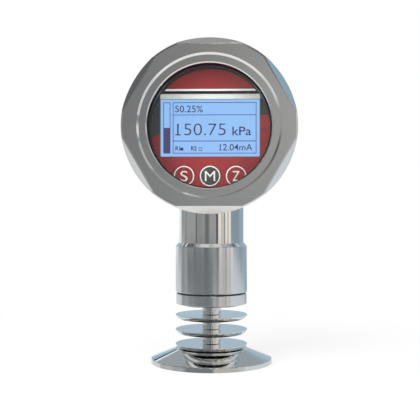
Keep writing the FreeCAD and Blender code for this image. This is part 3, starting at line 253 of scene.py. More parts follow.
# %% Hang the cards
# each card: azimuth, elevation, half width, half height, softness, colour, and a slope if it has one
cards = [
    # the walls at eye level, from the left round the front to the right
    (-125, 4, 8, 30, 4, (148, 156, 163)),
    (-100, 2, 4, 26, 3, (148, 150, 151)),
    (-42, 2, 13, 26, 5, (152, 153, 153)),
    (-52.7, 2, 1.8, 20, 0.8, (90, 92, 96)),
    (-14, 2, 7.5, 26, 5, (116, 117, 118)),
    (21.8, 2, 3.4, 26, 0.8, (86, 85, 90)),
    (32, 2, 6, 26, 1.2, (250, 243, 236)),
    (38, 2, 1.2, 26, 0.6, (190, 186, 180)),
    (43.3, 2, 4, 26, 1, (216, 212, 206)),
    (49, 2, 1.9, 26, 0.8, (146, 143, 137)),
    (55.3, 2, 3.4, 26, 1, (255, 253, 250)),
    (62, 2, 2.6, 26, 1, (214, 208, 203)),
    (69.8, 2, 4.6, 26, 1, (252, 246, 238)),
    (121, 4, 45.6, 22, 1, (146, 162, 171)),
    (142, 4, 24, 22, 5, (158, 182, 195)),
    # a white horizon behind, on the left
    (-166, 0, 35, 4, 2, (252, 255, 255)),
    # behind the camera, a little above it: what the lid's face shows
    (9, 12, 7, 9, 4, (188, 188, 186)),
    (-14, 12, 12.5, 9, 4, (126, 127, 128)),
    (0, 17, 9, 5, 4, (140, 141, 142)),
    # a dark ceiling in front, for the lamps that hang there
    (0, 48, 60, 20, 3, (16, 17, 19)),
    # light sky behind
    (180, 13, 60, 11, 3, (200, 220, 233)),
    (180, 16, 60, 9.4, 0.8, (174, 195, 210)),
    # thin lines behind on the left, and the grey and blue that surround them
    (-160, 35, 8, 11, 1, (164, 173, 178)),
    (173, 37, 9, 16, 4, (154, 172, 186)),
    (-171, 14.8, 10, 2.4, 0.6, (150, 186, 210)),
    (-171, 18.4, 12, 1.4, 0.5, (16, 18, 22)),
    (-168, 21.5, 10, 1.5, 0.5, (255, 255, 255)),
    (-171, 35, 8, 8, 2, (150, 156, 160)),
    # a pale and a blue card on the right, a dark corner on the left
    (80, 31, 14, 12, 2, (196, 198, 198)),
    (108, 31, 15, 12, 3, (148, 183, 206)),
    (90, 9, 12, 5, 3, (238, 240, 242)),
    (-92, 34, 36, 20, 9, (102, 105, 109)),
    # a dark ceiling behind, and what lies left and right of it, down to the sky
    (180, 63, 40, 9, 3, (18, 19, 21)),
    (-110, 68, 12, 12, 2, (206, 207, 207)),
    (-144, 34, 8, 3.8, 0.8, (250, 252, 254)),
    (-131, 45, 9, 4.4, 0.8, (255, 255, 255)),
    (-137, 39, 9, 1.1, 0.5, (60, 61, 63)),
    (-123, 52.5, 8, 3.4, 1, (96, 101, 103)),
    (114, 62, 9, 5, 1.5, (112, 134, 150)),
    (124, 51, 8, 4.4, 1.5, (92, 102, 108)),
    (135, 41, 8, 5.6, 2, (188, 212, 228)),
    (150, 26, 11, 9, 2, (160, 188, 206)),
    # overhead, brighter on the near side
    (0, 90, 180, 21, 6, (168, 170, 170)),
    (0, 82, 125, 9, 2, (255, 255, 255)),
    # below eye level: grey floor in front, pale floor at the sides and below
    (-38, -4.2, 44, 1.2, 0.25, (107, 111, 115)),
    (15, -4.2, 9, 1.2, 0.25, (124, 127, 130)),
    (36, -4.2, 11, 1.2, 0.25, (186, 184, 183)),
    (51, -4.2, 3, 1.2, 0.25, (168, 168, 166)),
    (61, -4.2, 7, 1.2, 0.25, (198, 196, 193)),
    (-35, -18, 42, 13, 4, (128, 133, 137)),
    (42, -19, 36, 13, 4, (196, 195, 192)),
    (120, -25.25, 52, 20, 0.7, (222, 224, 227), -0.0525),
    (-150, -24, 38, 20.5, 3, (226, 228, 232)),
    (95, -30, 40, 18, 8, (226, 231, 238)),
    (-95, -30, 45, 18, 8, (228, 230, 233)),
    (0, -90, 180, 52, 8, (255, 255, 255)),
]
room = place(sky, "ShaderNodeRGB").outputs[0]
room.default_value = paint(164, 167, 167)
for centre, height, half_width, half_height, softness, colour, *slope in cards:
    room = hang_card(room, (centre, height), (half_width, half_height), softness, paint(*colour), *slope)

lamp_azimuths = (-30, 0, 20, 36)
lamp_elevation = 62
lamp_half_size = (5, 5)
lamp_light = (3.0, 3.0, 3.0, 1.0)
for centre in lamp_azimuths:
    room = hang_card(room, (centre, lamp_elevation), lamp_half_size, 1, lamp_light)
print("studio with", len(cards), "cards and", len(lamp_azimuths), "mirrored lamps")

# %% [markdown]
# ## Who sees what
# A ray knows what it has met so far, and the world can answer by that. A mirrored ray sees the
# room. So does a ray that was mirrored first and then passed through the window. A ray that comes
# straight from the camera, through the window or past the object, sees plain white. All others
# are the even light on what is not metal.

# %% Join room, even light and white
ray = place(sky, "ShaderNodeLightPath").outputs
white = (1, 1, 1, 1)
seen = place(sky, "ShaderNodeBackground", Color=white, Strength=1.0)
even = place(sky, "ShaderNodeBackground", Color=white, Strength=0.75)
shiny = place(sky, "ShaderNodeBackground", Color=room, Strength=1.0)
unmirrored = calc(sky, "LESS_THAN", ray["Glossy Depth"], 0.5)
through = calc(sky, "MULTIPLY", ray["Is Transmission Ray"], unmirrored)
straight = calc(sky, "MAXIMUM", ray["Is Camera Ray"], through)
mirrored = calc(sky, "MAXIMUM", ray["Is Glossy Ray"], ray["Is Transmission Ray"])
lit = place(sky, "ShaderNodeMixShader", i0=mirrored, i1=even.outputs[0], i2=shiny.outputs[0])
final = place(sky, "ShaderNodeMixShader", i0=straight, i1=lit.outputs[0], i2=seen.outputs[0])
place(sky, "ShaderNodeOutputWorld", Surface=final.outputs[0])
print("world has", len(sky.nodes), "nodes")

# %% [markdown]
# ## The table
# The table is a plain pale disc. Seen directly it is almost pure white and only keeps a trace
# of the object's shadow: the shader blends from a matt sheet near the object to the background's
# white farther out, so the table has no edge. The steel does not mirror it, because the cards
# below eye level stand for it, and give the undersides the right tones.

# %% Table
table_radius = mm(300)
shadow_ends = (mm(50), mm(240))       # between these distances the sheet turns into plain white
least_white = 0.7


def disc_grid(radius, rings, spokes):
    """A flat disc: rings of points at growing radius, joined by quads, with a fan at the middle."""
    angle = np.linspace(0, 2 * np.pi, spokes, endpoint=False)
    reach = radius * np.linspace(0, 1, rings + 1)[1:, None]
    ring = np.stack([reach * np.cos(angle), reach * np.sin(angle), np.zeros((rings, spokes))], -1)
    points = np.concatenate([[[0, 0, 0]], ring.reshape(-1, 3)])
    index = 1 + np.arange(rings * spokes).reshape(rings, spokes)
    after = np.roll(index, -1, axis=1)
    quads = np.stack([index[:-1], index[1:], after[1:], after[:-1]], -1).reshape(-1, 4)
    fan = np.stack([np.zeros(spokes, int), index[0], after[0]], -1)
    return points, quads.tolist() + fan.tolist()


def add_mesh(name, points, faces):
    """A new flat-shaded object at the origin whose mesh has these points and faces."""
    mesh = bpy.data.meshes.new(name)
    mesh.from_pydata(np.asarray(points, float).tolist(), [], faces)
    mesh.shade_flat()
    made = bpy.data.objects.new(name, mesh)
    bpy.context.collection.objects.link(made)
    return made


sheet, tree, surface = new_material("pale sheet")
ray = place(tree, "ShaderNodeLightPath").outputs
matt = place(tree, "ShaderNodeBsdfDiffuse", Color=(0.9, 0.9, 0.9, 1))
glow = place(tree, "ShaderNodeEmission", Color=white, Strength=1.0)
distance = length_of(tree, object_place(tree))
away = smooth_step(tree, distance, i1=shadow_ends[0], i2=shadow_ends[1], i3=least_white, i4=1.0)
direct = calc(tree, "MAXIMUM", ray["Is Camera Ray"], ray["Is Transmission Ray"])
both = place(tree, "ShaderNodeMixShader", i0=calc(tree, "MULTIPLY", direct, away),
             i1=matt.outputs[0], i2=glow.outputs[0])
tree.links.new(both.outputs[0], surface)

table = add_mesh("table", *disc_grid(table_radius, rings=12, spokes=96))
table.data.materials.append(sheet)
table.visible_glossy = False
print("table with", len(table.data.polygons), "faces")

# %% [markdown]
# ## Lamps
# One large soft lamp above the camera gives the shadow its direction. The faceplate lies deep
# inside the lid, where that lamp hardly reaches, so it gets one lamp from each side: a single one
# straight in front would pale the print. None of the lamps shows in the steel, because the room
# already holds what steel sees.

# %% Lamps
# each lamp: name, place and aim in millimetres, diameter, watts
lamps = [
    ("softbox", (-250, -450, 620), (0, 0, 80), 500, 3.0),
    ("left fill", (-400, -480, 200), (0, 0, 122), 300, 1.5),
    ("right fill", (400, -480, 200), (0, 0, 122), 300, 1.5),
]
for name, spot, aim, size, watts in lamps:
    light = bpy.data.lights.new(name, "AREA")
    light.shape = "DISK"
    light.size = mm(size)
    light.energy = watts
    lamp = bpy.data.objects.new(name, light)
    bpy.context.collection.objects.link(lamp)
    lamp.location = Vector(spot) / 1000
    lamp.rotation_mode = "QUATERNION"
    lamp.rotation_quaternion = (Vector(aim) - Vector(spot)).to_track_quat("-Z", "Y")
    lamp.visible_glossy = False
    lamp.visible_camera = False
print(len(lamps), "lamps set")

# %% [markdown]
# ## Turned steel
# Nearly everything that shows on the outside was turned on a lathe. The tool leaves fine rings
# round the turning axis, so its marks depend on the distance from that axis and on the place along
# it, and on nothing else: noise is read on those two numbers, and comes out as rings. An image
# texture could hold the rings too, but it would need unwrapping and would blur close up. On top
# come faint cloudy handling marks, which change the gloss and the shade a little. One group does
# this for both turning axes, because it is handed the coordinates with the axis along Z.

# %% Group: lathe marks
lathe, given, result = new_group(
    "lathe marks",
    [("Place", "vector", None), ("Rings", "float", 3000.0), ("Marks", "float", 60.0),
     ("Gloss", "float", 0.25), ("Spread", "float", 0.05)],
    [("Roughness", "float"), ("Height", "float"), ("Cloud", "float")])
part = place(lathe, "ShaderNodeSeparateXYZ", i0=given["Place"]).outputs
flat = place(lathe, "ShaderNodeCombineXYZ", X=part[0], Y=part[1]).outputs[0]
on_profile = place(lathe, "ShaderNodeCombineXYZ", X=length_of(lathe, flat), Z=part[2]).outputs[0]
fine = place(lathe, "ShaderNodeTexNoise", Vector=on_profile, Scale=given["Rings"], Detail=2.0).outputs["Fac"]
cloud = place(lathe, "ShaderNodeTexNoise", Vector=given["Place"], Scale=given["Marks"],
              Detail=3.0).outputs["Fac"]
swing = calc(lathe, "SUBTRACT", calc(lathe, "ADD", fine, cloud), 1.0)
swing = calc(lathe, "MULTIPLY", swing, given["Spread"])
lathe.links.new(calc(lathe, "ADD", given["Gloss"], swing, clamp=True), result["Roughness"])
lathe.links.new(fine, result["Height"])
lathe.links.new(cloud, result["Cloud"])
print("lathe marks group has", len(lathe.nodes), "nodes")

# %% [markdown]
# ## Where a cut is brighter
# The last light cut of a sharp tool leaves a bevel brighter than the face beside it: the bevel at
# the sleeve's top, and the slope down to the window in the lid. Such a cut is the metal between
# two distances from the axis and two places along it. Comparing a number with two limits is also
# what the printed faceplate needs, so it is a group of its own.

# %% Group: field
fields, given, result = new_group(
    "field", [("Value", "float", None), ("From", "float", 0.0), ("To", "float", 1.0)], [("Mask", "float")])
past_start = calc(fields, "GREATER_THAN", given["Value"], given["From"])
before_end = calc(fields, "LESS_THAN", given["Value"], given["To"])
fields.links.new(calc(fields, "MULTIPLY", past_start, before_end), result["Mask"])


def between(tree, value, low, high):
    """1 where value lies between low and high, and 0 elsewhere."""
    return use_group(tree, fields, Value=value, From=low, To=high)["Mask"]


print("field group has", len(fields.nodes), "nodes")

# %% Steel with lathe marks


def about_axis(tree, across_head):
    """Object coordinates with the turning axis along Z: the process axis, or the head's."""
    source = object_place(tree)
    if not across_head:
        return source
    return place(tree, "ShaderNodeMapping", {"vector_type": "TEXTURE"}, Vector=source,
                 Location=(0.0, 0.0, head_level), Rotation=(math.radians(90), 0.0, 0.0)).outputs[0]


def bright_cut(tree, spot, near, far, low, high):
    """1 between two distances from the axis and two places along it, all in mm."""
    apart = place(tree, "ShaderNodeSeparateXYZ", i0=spot).outputs
    reach = length_of(tree, place(tree, "ShaderNodeCombineXYZ", X=apart[0], Y=apart[1]).outputs[0])
    return calc(tree, "MULTIPLY", between(tree, reach, mm(near), mm(far)),
                between(tree, apart[2], mm(low), mm(high)))


def turned_steel(name, colour, gloss, spread, across_head=False, depth=0.02, bright=None):
    """Steel with lathe marks. `gloss` is the mean roughness, `spread` how far it swings and `depth`
    the marks' bump. `bright` is a cut with less of all three, as near, far, low and high in mm."""
    cut_takes = 0.7                   # the share of all three that the cut takes away
    cloud_shade = 0.94                # how dark the cloudy marks are
    material, tree, surface = new_material(name)
    spot = about_axis(tree, across_head)
    if bright:
        taken = calc(tree, "MULTIPLY", bright_cut(tree, spot, *bright), cut_takes)
        left = calc(tree, "SUBTRACT", 1.0, taken)
        gloss, spread, depth = (calc(tree, "MULTIPLY", left, value) for value in (gloss, spread, depth))
    marks = use_group(tree, lathe, Place=spot, Gloss=gloss, Spread=spread)
    bump = place(tree, "ShaderNodeBump", Strength=depth, Distance=mm(1), Height=marks["Height"])
    darker = tuple(cloud_shade * c for c in colour[:3]) + (1,)
    shade = mix_colour(tree, marks["Cloud"], darker, colour)
    skin = place(tree, "ShaderNodeBsdfPrincipled", Base_Color=shade, Metallic=1.0,
                 Roughness=marks["Roughness"], Normal=bump.outputs[0])
    tree.links.new(skin.outputs[0], surface)
    return material


print("turning axes: the upright one, and the head's,", round(head_level * 1000, 2), "mm up")

# %% [markdown]
# ## The metals of this object
# The wetted end and the neck are polished, since hygienic steel has to be. The sleeve and the
# collar are satin, the lid and the housing a little rougher. Pieces inside were never polished.
# The gland and the breather are nickel-plated brass, which is a touch yellower than steel.

# %% Metals
# the two bright cuts: distances from the axis, and places along it, in mm
sleeve_bevel = (14, 20, sleeve_top - 1.82, sleeve_top + 0.08)
lid_slope = (34.5, 35.75, lid_front - 8.2, lid_front + 1.8)
steel_tone = paint(232, 232, 230)
inner_tone = paint(200, 202, 204)

polished = turned_steel("polished steel", steel_tone, 0.05, 0.03, depth=0.004)
tube_steel = turned_steel("polished tube", steel_tone, 0.07, 0.03, depth=0.006)
satin = turned_steel("satin turned steel", paint(228, 229, 230), 0.12, 0.05, depth=0.012, bright=sleeve_bevel)
head_steel = turned_steel("head steel", paint(224, 223, 220), 0.22, 0.08, across_head=True, depth=0.03)
lid_steel = turned_steel("lid steel", paint(228, 227, 225), 0.17, 0.06, across_head=True, bright=lid_slope)
inner_steel = turned_steel("inner steel", inner_tone, 0.32, 0.08)
inner_head_steel = turned_steel("inner head steel", inner_tone, 0.32, 0.08, across_head=True)
nickel = turned_steel("nickel-plated brass", paint(214, 211, 202), 0.16, 0.06, across_head=True)
gold = turned_steel("gold-plated pins", paint(226, 190, 110), 0.2, 0.05)
print("materials so far:", len(bpy.data.materials))

# %% [markdown]
# ## Rubber, plastics and boards
# These are quiet materials, but none is one flat colour: rubber is matt with a fine grain,
# moulded plastic has a faint orange peel, boards have a weave under their lacquer. All of them are
# the same thing at different scales, a fine noise that moves colour, gloss and height together,
# so one group serves them all, and the print and the inks below as well.

# %% Group: moulded skin
grain, given, result = new_group(
    "moulded skin",
    [("Place", "vector", None), ("Scale", "float", 900.0), ("First", "colour", None),
     ("Second", "colour", None), ("Gloss", "float", 0.5), ("Spread", "float", 0.1)],
    [("Colour", "colour"), ("Roughness", "float"), ("Height", "float")])
speck = place(grain, "ShaderNodeTexNoise", Vector=given["Place"], Scale=given["Scale"],
              Detail=4.0).outputs["Fac"]
swing = calc(grain, "MULTIPLY", calc(grain, "SUBTRACT", speck, 0.5), given["Spread"])
grain.links.new(mix_colour(grain, speck, given["First"], given["Second"]), result["Colour"])
grain.links.new(calc(grain, "ADD", given["Gloss"], swing), result["Roughness"])
grain.links.new(speck, result["Height"])
print("moulded skin group has", len(grain.nodes), "nodes")

# %% Moulded materials


def moulded(name, first, second, gloss, scale=900.0):
    """A non-metal whose colour wanders between two close shades, with a fine bump."""
    material, tree, surface = new_material(name)
    skin = use_group(tree, grain, Place=object_place(tree), Scale=scale, First=first, Second=second,
                     Gloss=gloss, Spread=0.15)
    bump = place(tree, "ShaderNodeBump", Strength=0.1, Distance=mm(0.2), Height=skin["Height"])
    shader = place(tree, "ShaderNodeBsdfPrincipled", Base_Color=skin["Colour"],
                   Roughness=skin["Roughness"], Normal=bump.outputs[0])
    tree.links.new(shader.outputs[0], surface)
    return material


rubber = moulded("black rubber", paint(20, 20, 20), paint(34, 34, 34), 0.65)
black_plastic = moulded("black plastic", paint(24, 24, 26), paint(32, 32, 34), 0.45)
black_ring = moulded("blackened ring", paint(16, 17, 18), paint(26, 27, 28), 0.4)
white_plastic = moulded("white plastic", paint(226, 226, 220), paint(236, 236, 232), 0.45)
light_guide = moulded("light guide", paint(214, 228, 246), paint(222, 234, 250), 0.2)
board_green = moulded("green board", paint(22, 92, 58), paint(30, 108, 70), 0.3, scale=2500.0)
chip_black = moulded("chip plastic", paint(28, 28, 30), paint(40, 40, 42), 0.5)
frame_paint = moulded("painted frame", paint(222, 222, 219), paint(228, 228, 225), 0.4)
legend_white = moulded("legend white", paint(222, 222, 212), paint(230, 230, 222), 0.5)
print("materials so far:", len(bpy.data.materials))

# %% [markdown]
# ## Window glass
# The window is a thick clear disc with a faint smear left by wiping. Light has to reach the
# faceplate behind it. Glass that bends every ray would need many samples for that. A ray that only
# asks whether it is in shadow, or one that a matt face has scattered, does not need to be bent, so
# for those two the glass is simply clear.

# %% Glass
clear_glass, tree, surface = new_material("clear glass")
wipe = place(tree, "ShaderNodeTexNoise", Vector=object_place(tree), Scale=40.0, Detail=3.0).outputs["Fac"]
smear = place(tree, "ShaderNodeMapRange", i0=wipe, i1=0.4, i2=0.8, i3=0.0, i4=0.02).outputs[0]
glass = place(tree, "ShaderNodeBsdfPrincipled", Base_Color=(0.99, 1.0, 0.995, 1), Roughness=smear, IOR=1.5,
              Specular_IOR_Level=0.1, Transmission_Weight=1.0)
clear = place(tree, "ShaderNodeBsdfTransparent", Color=(0.97, 0.98, 0.975, 1))
ray = place(tree, "ShaderNodeLightPath").outputs
unbent = calc(tree, "MAXIMUM", ray["Is Shadow Ray"], ray["Is Diffuse Ray"])
both = place(tree, "ShaderNodeMixShader", i0=unbent, i1=glass.outputs[0], i2=clear.outputs[0])
tree.links.new(both.outputs[0], surface)
print(clear_glass.name, "has", len(tree.nodes), "nodes")

# %% [markdown]
# ## The printed faceplate
# The faceplate is a plastic disc printed in red and charcoal: a charcoal band behind the display
# that ends in a slant on the left and square on the right, a white rule above the band, and two
# fine lines on the right. Shade is painted on it as well: a black line under the white rule is a
# painted shadow along the top edge of the display's window, a dark ring round the edge is painted
# shade, deeper at the top under the lid's lip, and the red below the head's axis is a little darker,
# as painted shade. Print could be a picture, but a picture blurs close up. Print has hard edges, so
# each field is a comparison of the piece's own x and height with a fixed place. The maker's words
# are left off, and their places are plain red.

# %% Print on plastic
print_red = paint(150, 46, 49)
# the same red a little darker, as painted shade, for the lower half and the two red keys
print_red_shaded = paint(141, 41, 45)
print_charcoal = paint(62, 62, 63)
# dark grey for the painted shade round the faceplate's edge
painted_rim_shade = paint(46, 47, 49)
# black for the painted shadow along the top edge of the display's window
painted_edge_shadow = paint(14, 14, 16)
print_white = paint(250, 250, 247)


def head_millimetres(tree):
    """x, and height above the head's axis, in millimetres, of the point being shaded."""
    apart = place(tree, "ShaderNodeSeparateXYZ", i0=object_place(tree)).outputs
    return (calc(tree, "MULTIPLY", apart[0], 1000.0),
            calc(tree, "MULTIPLY", calc(tree, "SUBTRACT", apart[2], head_level), 1000.0))


def reach_from(tree, x, up, centre):
    """How far the point (x, up) is from a centre, in millimetres."""
    offset = place(tree, "ShaderNodeCombineXYZ", X=calc(tree, "SUBTRACT", x, centre[0]),
                   Y=calc(tree, "SUBTRACT", up, centre[1]))
    return length_of(tree, offset.outputs[0])


def printed(name, colour_of):
    """A printed plastic face. `colour_of(tree)` returns the colour socket of the print."""
    material, tree, surface = new_material(name)
    skin = use_group(tree, grain, Place=object_place(tree), Scale=1500.0, First=(0.96, 0.96, 0.96, 1),
                     Second=(1.04, 1.04, 1.04, 1), Gloss=0.42, Spread=0.1)
    colour = mix_colour(tree, 1.0, colour_of(tree), skin["Colour"], blend="MULTIPLY")
    bump = place(tree, "ShaderNodeBump", Strength=0.05, Distance=mm(0.1), Height=skin["Height"])
    shader = place(tree, "ShaderNodeBsdfPrincipled", Base_Color=colour, Roughness=skin["Roughness"],
                   Specular_IOR_Level=0.2, Normal=bump.outputs[0])
    tree.links.new(shader.outputs[0], surface)
    return material


print("white print as linear light:", [round(v, 2) for v in print_white[:3]])

# %% Faceplate print
# heights above the head's axis and places beside it, in mm
# the black line just under the white rule is painted shadow along the top edge of the display's window
edge_shadow_low, edge_shadow_high, white_high = 17.2, 18.6, 19.6
band_low_right = 6.4                   # lower edge of the charcoal band on the right
slant_rise, slant_start = 0.76, 16.9   # its left edge: rise for each mm to the right, height at x = 0
fine_line_spans = ((-1.6, -1.25), (-7.5, -7.15))
fine_line_strength = 0.7
# a painted shade ring round the faceplate's edge; its centre sits low, so it is deeper at the top, under the
# lid's lip
rim_shade_centre, rim_shade_radius = (0.2, -0.6), 30.1
beyond_print = 60.0


def faceplate_colour(tree):
    """Red, a charcoal band, a white rule, two fine lines, and painted shade: shadow line, rim, lower red."""
    x, up = head_millimetres(tree)
    on_left = calc(tree, "LESS_THAN", x, 0.0)
    on_right = calc(tree, "GREATER_THAN", x, 0.0)
    slant = calc(tree, "ADD", calc(tree, "MULTIPLY", x, slant_rise), slant_start)
    left = calc(tree, "MULTIPLY", on_left, calc(tree, "GREATER_THAN", up, slant))
    right = calc(tree, "MULTIPLY", on_right, calc(tree, "GREATER_THAN", up, band_low_right))
    band = calc(tree, "MULTIPLY", calc(tree, "MAXIMUM", left, right), calc(tree, "LESS_THAN", up, edge_shadow_high))
    fine_lines = calc(tree, "MAXIMUM", *(between(tree, up, *span) for span in fine_line_spans))
    fine_lines = calc(tree, "MULTIPLY", calc(tree, "MULTIPLY", fine_lines, on_right), fine_line_strength)
    # painted shade: below the head's axis the red is a little darker
    shade = mix_colour(tree, between(tree, up, 0.0, beyond_print), print_red_shaded, print_red)
    shade = mix_colour(tree, fine_lines, shade, print_charcoal)
    shade = mix_colour(tree, band, shade, print_charcoal)
    # painted shadow: a black line along the top edge of the display's window
    shade = mix_colour(tree, between(tree, up, edge_shadow_low, edge_shadow_high), shade, painted_edge_shadow)
    shade = mix_colour(tree, between(tree, up, edge_shadow_high, white_high), shade, print_white)
    # painted shade: a dark ring round the faceplate's edge, deeper at the top
    rim_shade = between(tree, reach_from(tree, x, up, rim_shade_centre), rim_shade_radius, beyond_print)
    return mix_colour(tree, rim_shade, shade, painted_rim_shade)


faceplate_print = printed("faceplate print", faceplate_colour)
print(faceplate_print.name, "has", len(faceplate_print.node_tree.nodes), "nodes")

# %% [markdown]
# ## The keys
# Three keys stand through the faceplate. They are printed like it, each with a pale ring along its
# edge, and the middle one is charcoal; the other two take the darker red that is painted shade on
# the faceplate's lower half. Each has a material of its own, because the ring is drawn round that
# key's centre, which comes from its box.

# %% Key print
ring_inside, ring_outside = 4.62, 5.4
key_print = {}
key_centre = {}


def key_colour(centre, fill):
    """Makes the function that colours a key's face: its fill, with a pale ring along its edge."""
    def colour(tree):
        reach = reach_from(tree, *head_millimetres(tree), centre)
        return mix_colour(tree, between(tree, reach, ring_inside, ring_outside), fill, print_white)
    return colour


for name, (low, high) in key_boxes.items():
    centre = ((low + high) / 2 - Vector((0, 0, head_level))) * 1000
    key_centre[name] = (centre.x, centre.z)
    # the red keys take the darker red that is painted shade on the lower half
    fill = print_charcoal if name == "m" else print_red_shaded
    key_print[name] = printed("key print " + name, key_colour(key_centre[name], fill))
print("key centres from the head's axis, mm:",
      {name: (round(x, 2), round(up, 2)) for name, (x, up) in key_centre.items()})

# %% [markdown]
# ## The lit display
# The LCD is lit from behind, so its glass glows a pale blue that shifts a little towards its edges,
# with a thin dark rim round them. A lamp behind a see-through panel could do this too, but would be
# slow and noisy. So the glass itself gives off the light.

# %% LCD glow
half_lit = (25.3, 14.7)               # half width and half height over which the blue shifts, in mm
rim_start = (25.02, 14.42)
blue_middle, blue_edge = paint(150, 196, 253), paint(142, 197, 247)

lcd_glow, tree, surface = new_material("lcd glow")
aside, above = (calc(tree, "ABSOLUTE", value) for value in head_millimetres(tree))
edge_x, edge_up = (calc(tree, "POWER", calc(tree, "DIVIDE", value, half), 6.0)
                   for value, half in zip((aside, above), half_lit))
fade = calc(tree, "MULTIPLY", calc(tree, "MAXIMUM", edge_x, edge_up), 0.5, clamp=True)
rim = calc(tree, "MAXIMUM", between(tree, aside, rim_start[0], beyond_print),
           between(tree, above, rim_start[1], beyond_print))
blue = mix_colour(tree, rim, mix_colour(tree, fade, blue_middle, blue_edge), paint(104, 112, 104))
shader = place(tree, "ShaderNodeBsdfPrincipled", Base_Color=(0.01, 0.015, 0.02, 1), Roughness=0.35,
               Specular_IOR_Level=0.15, Emission_Color=blue, Emission_Strength=0.98)
tree.links.new(shader.outputs[0], surface)
print(lcd_glow.name, "has", len(tree.nodes), "nodes")

# %% [markdown]
# ## Ink on the display
# Everything on the display is flat ink: the frame lines, the bar graph and the readings are thin
# pieces that lie just in front of the glass. Real segments block the light behind them, and still
# let a little of it through, so the ink has a dim glow of its own instead of being black.

# %% Inks


def ink(name, colour):
    """Flat LCD ink: it hides the glow behind it and has a dim glow of its own."""
    material, tree, surface = new_material(name)
    lighter = tuple(1.08 * c for c in colour[:3]) + (1,)
    skin = use_group(tree, grain, Place=object_place(tree), Scale=1200.0, First=colour, Second=lighter,
                     Gloss=0.5, Spread=0.1)
    shader = place(tree, "ShaderNodeBsdfPrincipled", Base_Color=(0.01, 0.01, 0.015, 1),
                   Roughness=skin["Roughness"], Specular_IOR_Level=0.1,
                   Emission_Color=skin["Colour"], Emission_Strength=1.0)
    tree.links.new(shader.outputs[0], surface)
    return material


digit_ink = ink("digit ink", paint(38, 34, 78))
line_ink = ink("line ink", paint(62, 62, 144))
bar_ink = ink("bar ink", paint(70, 66, 108))
print("materials so far:", len(bpy.data.materials))

# %% [markdown]
# ## Printed lines
# A printed line is a flat ribbon: its middle line runs through the corners, and each edge is the
# middle line pushed sideways by half the width along the corner's mitre. A curve with a bevel
# would be quicker to set up, but round, and ink is flat. All lines of one ink are one mesh.

# %% Ribbons
ink_thickness = mm(0.02)
ink_front = lcd_front - ink_thickness


def on_face(flat, front):
    """Points (x, up) in mm from the head's axis, twice: on the front at `front` along Y, and behind it."""
    flat = np.asarray(flat, float)
    before = np.stack([flat[:, 0] / 1000, np.full(len(flat), front), head_level + flat[:, 1] / 1000], -1)
    return np.concatenate([before, before + [0, ink_thickness, 0]])


def edges_of_ribbon(points, width, closed=False):
    """Two rows of points: the path moved sideways by +-width/2 along the mitre at each corner."""
    def one_long(vectors):
        return vectors / np.linalg.norm(vectors, axis=1)[:, None]

    path = np.asarray(points, float)
    ahead = np.roll(path, -1, 0) - path
    behind = path - np.roll(path, 1, 0)
    if not closed:
        ahead[-1], behind[0] = behind[-1], ahead[0]
    side = one_long(ahead)[:, ::-1] * [-1, 1]
    side_before = one_long(behind)[:, ::-1] * [-1, 1]
    mitre = one_long(side + side_before)
    mitre = mitre / np.sum(mitre * side, axis=1)[:, None]
    return path + mitre * width / 2, path - mitre * width / 2


def face_outwards(made):
    """Turns every face of a closed shell outwards."""
    shell = bmesh.new()
    shell.from_mesh(made.data)
    bmesh.ops.recalc_face_normals(shell, faces=shell.faces)
    shell.to_mesh(made.data)
    shell.free()


def ribbons(name, paths, front, material, body):
    """Many flat ribbons in one mesh, each given as (points, width, closed), in mm."""
    all_points, all_faces, start = [], [], 0
    for points, width, closed in paths:
        left, right = edges_of_ribbon(points, width, closed)
        count = len(left)
        here = np.arange(count if closed else count - 1)
        after = (here + 1) % count
        # the block holds four rows of points: left and right in front, then left and right behind
        left_front, right_front, left_back, right_back = (start + row * count for row in range(4))
        for one, other in ((left_front, right_front), (right_back, left_back),
                           (left_back, left_front), (right_front, right_back)):
            all_faces += np.stack([one + here, other + here, other + after, one + after], -1).tolist()
        if not closed:
            corners = np.array([left_front, left_back, right_back, right_front])
            all_faces += [corners.tolist(), (corners[::-1] + count - 1).tolist()]
        all_points.append(on_face(np.concatenate([left, right]), front))
        start += 4 * count
    made = add_mesh(name, np.concatenate(all_points), all_faces)
    face_outwards(made)
    made.data.materials.append(material)
    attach(made, body)
    print(name, "has", len(all_faces), "faces")


def frame_path(x0, x1, up0, up1):
    """The four corners of an upright frame."""
    return [(x0, up0), (x1, up0), (x1, up1), (x0, up1)]


print("ink lies at", round(ink_front * 1000, 2), "mm, the LCD's face at", round(lcd_front * 1000, 2), "mm")

# %% [markdown]
# ## Letters and figures
# Letters come from a text object, because drawing each by hand would take long and look uneven. A
# text object can't be stretched to a wanted width, so it is made a mesh first: then its points
# are scaled until a capital has the wanted height and the words fill their span, and laid on the
# glass. The type's own figure 1 is a bare stroke. The display's has a foot, so a reading that
# starts with a 1 gets a short line under it.

# %% Type as a mesh
type_extrude = 0.01                   # gives the letters a front and a back, in type sizes
curve_steps = 6


def type_mesh(words, weight=0.0):
    """The mesh of some words, one type size high, and its points. `weight` makes strokes wider."""
    curve = bpy.data.curves.new("type", "FONT")
    curve.body = words
    curve.size = 1.0
    curve.extrude = type_extrude
    curve.offset = weight
    curve.resolution_u = curve_steps
    source = bpy.data.objects.new("type", curve)
    bpy.context.collection.objects.link(source)
    bpy.context.view_layer.update()
    mesh = bpy.data.meshes.new_from_object(source.evaluated_get(bpy.context.evaluated_depsgraph_get()))
    bpy.data.objects.remove(source)
    points = np.zeros(len(mesh.vertices) * 3)
    mesh.vertices.foreach_get("co", points)
    return mesh, points.reshape(-1, 3)


capital = np.ptp(type_mesh("H")[1][:, 1])
print("a capital is", round(capital, 3), "of the type size")

# %% Words laid on a face
foot_stroke, foot_before, foot_after = 0.09, 0.29, 0.17      # of a figure 1, in capitals' heights


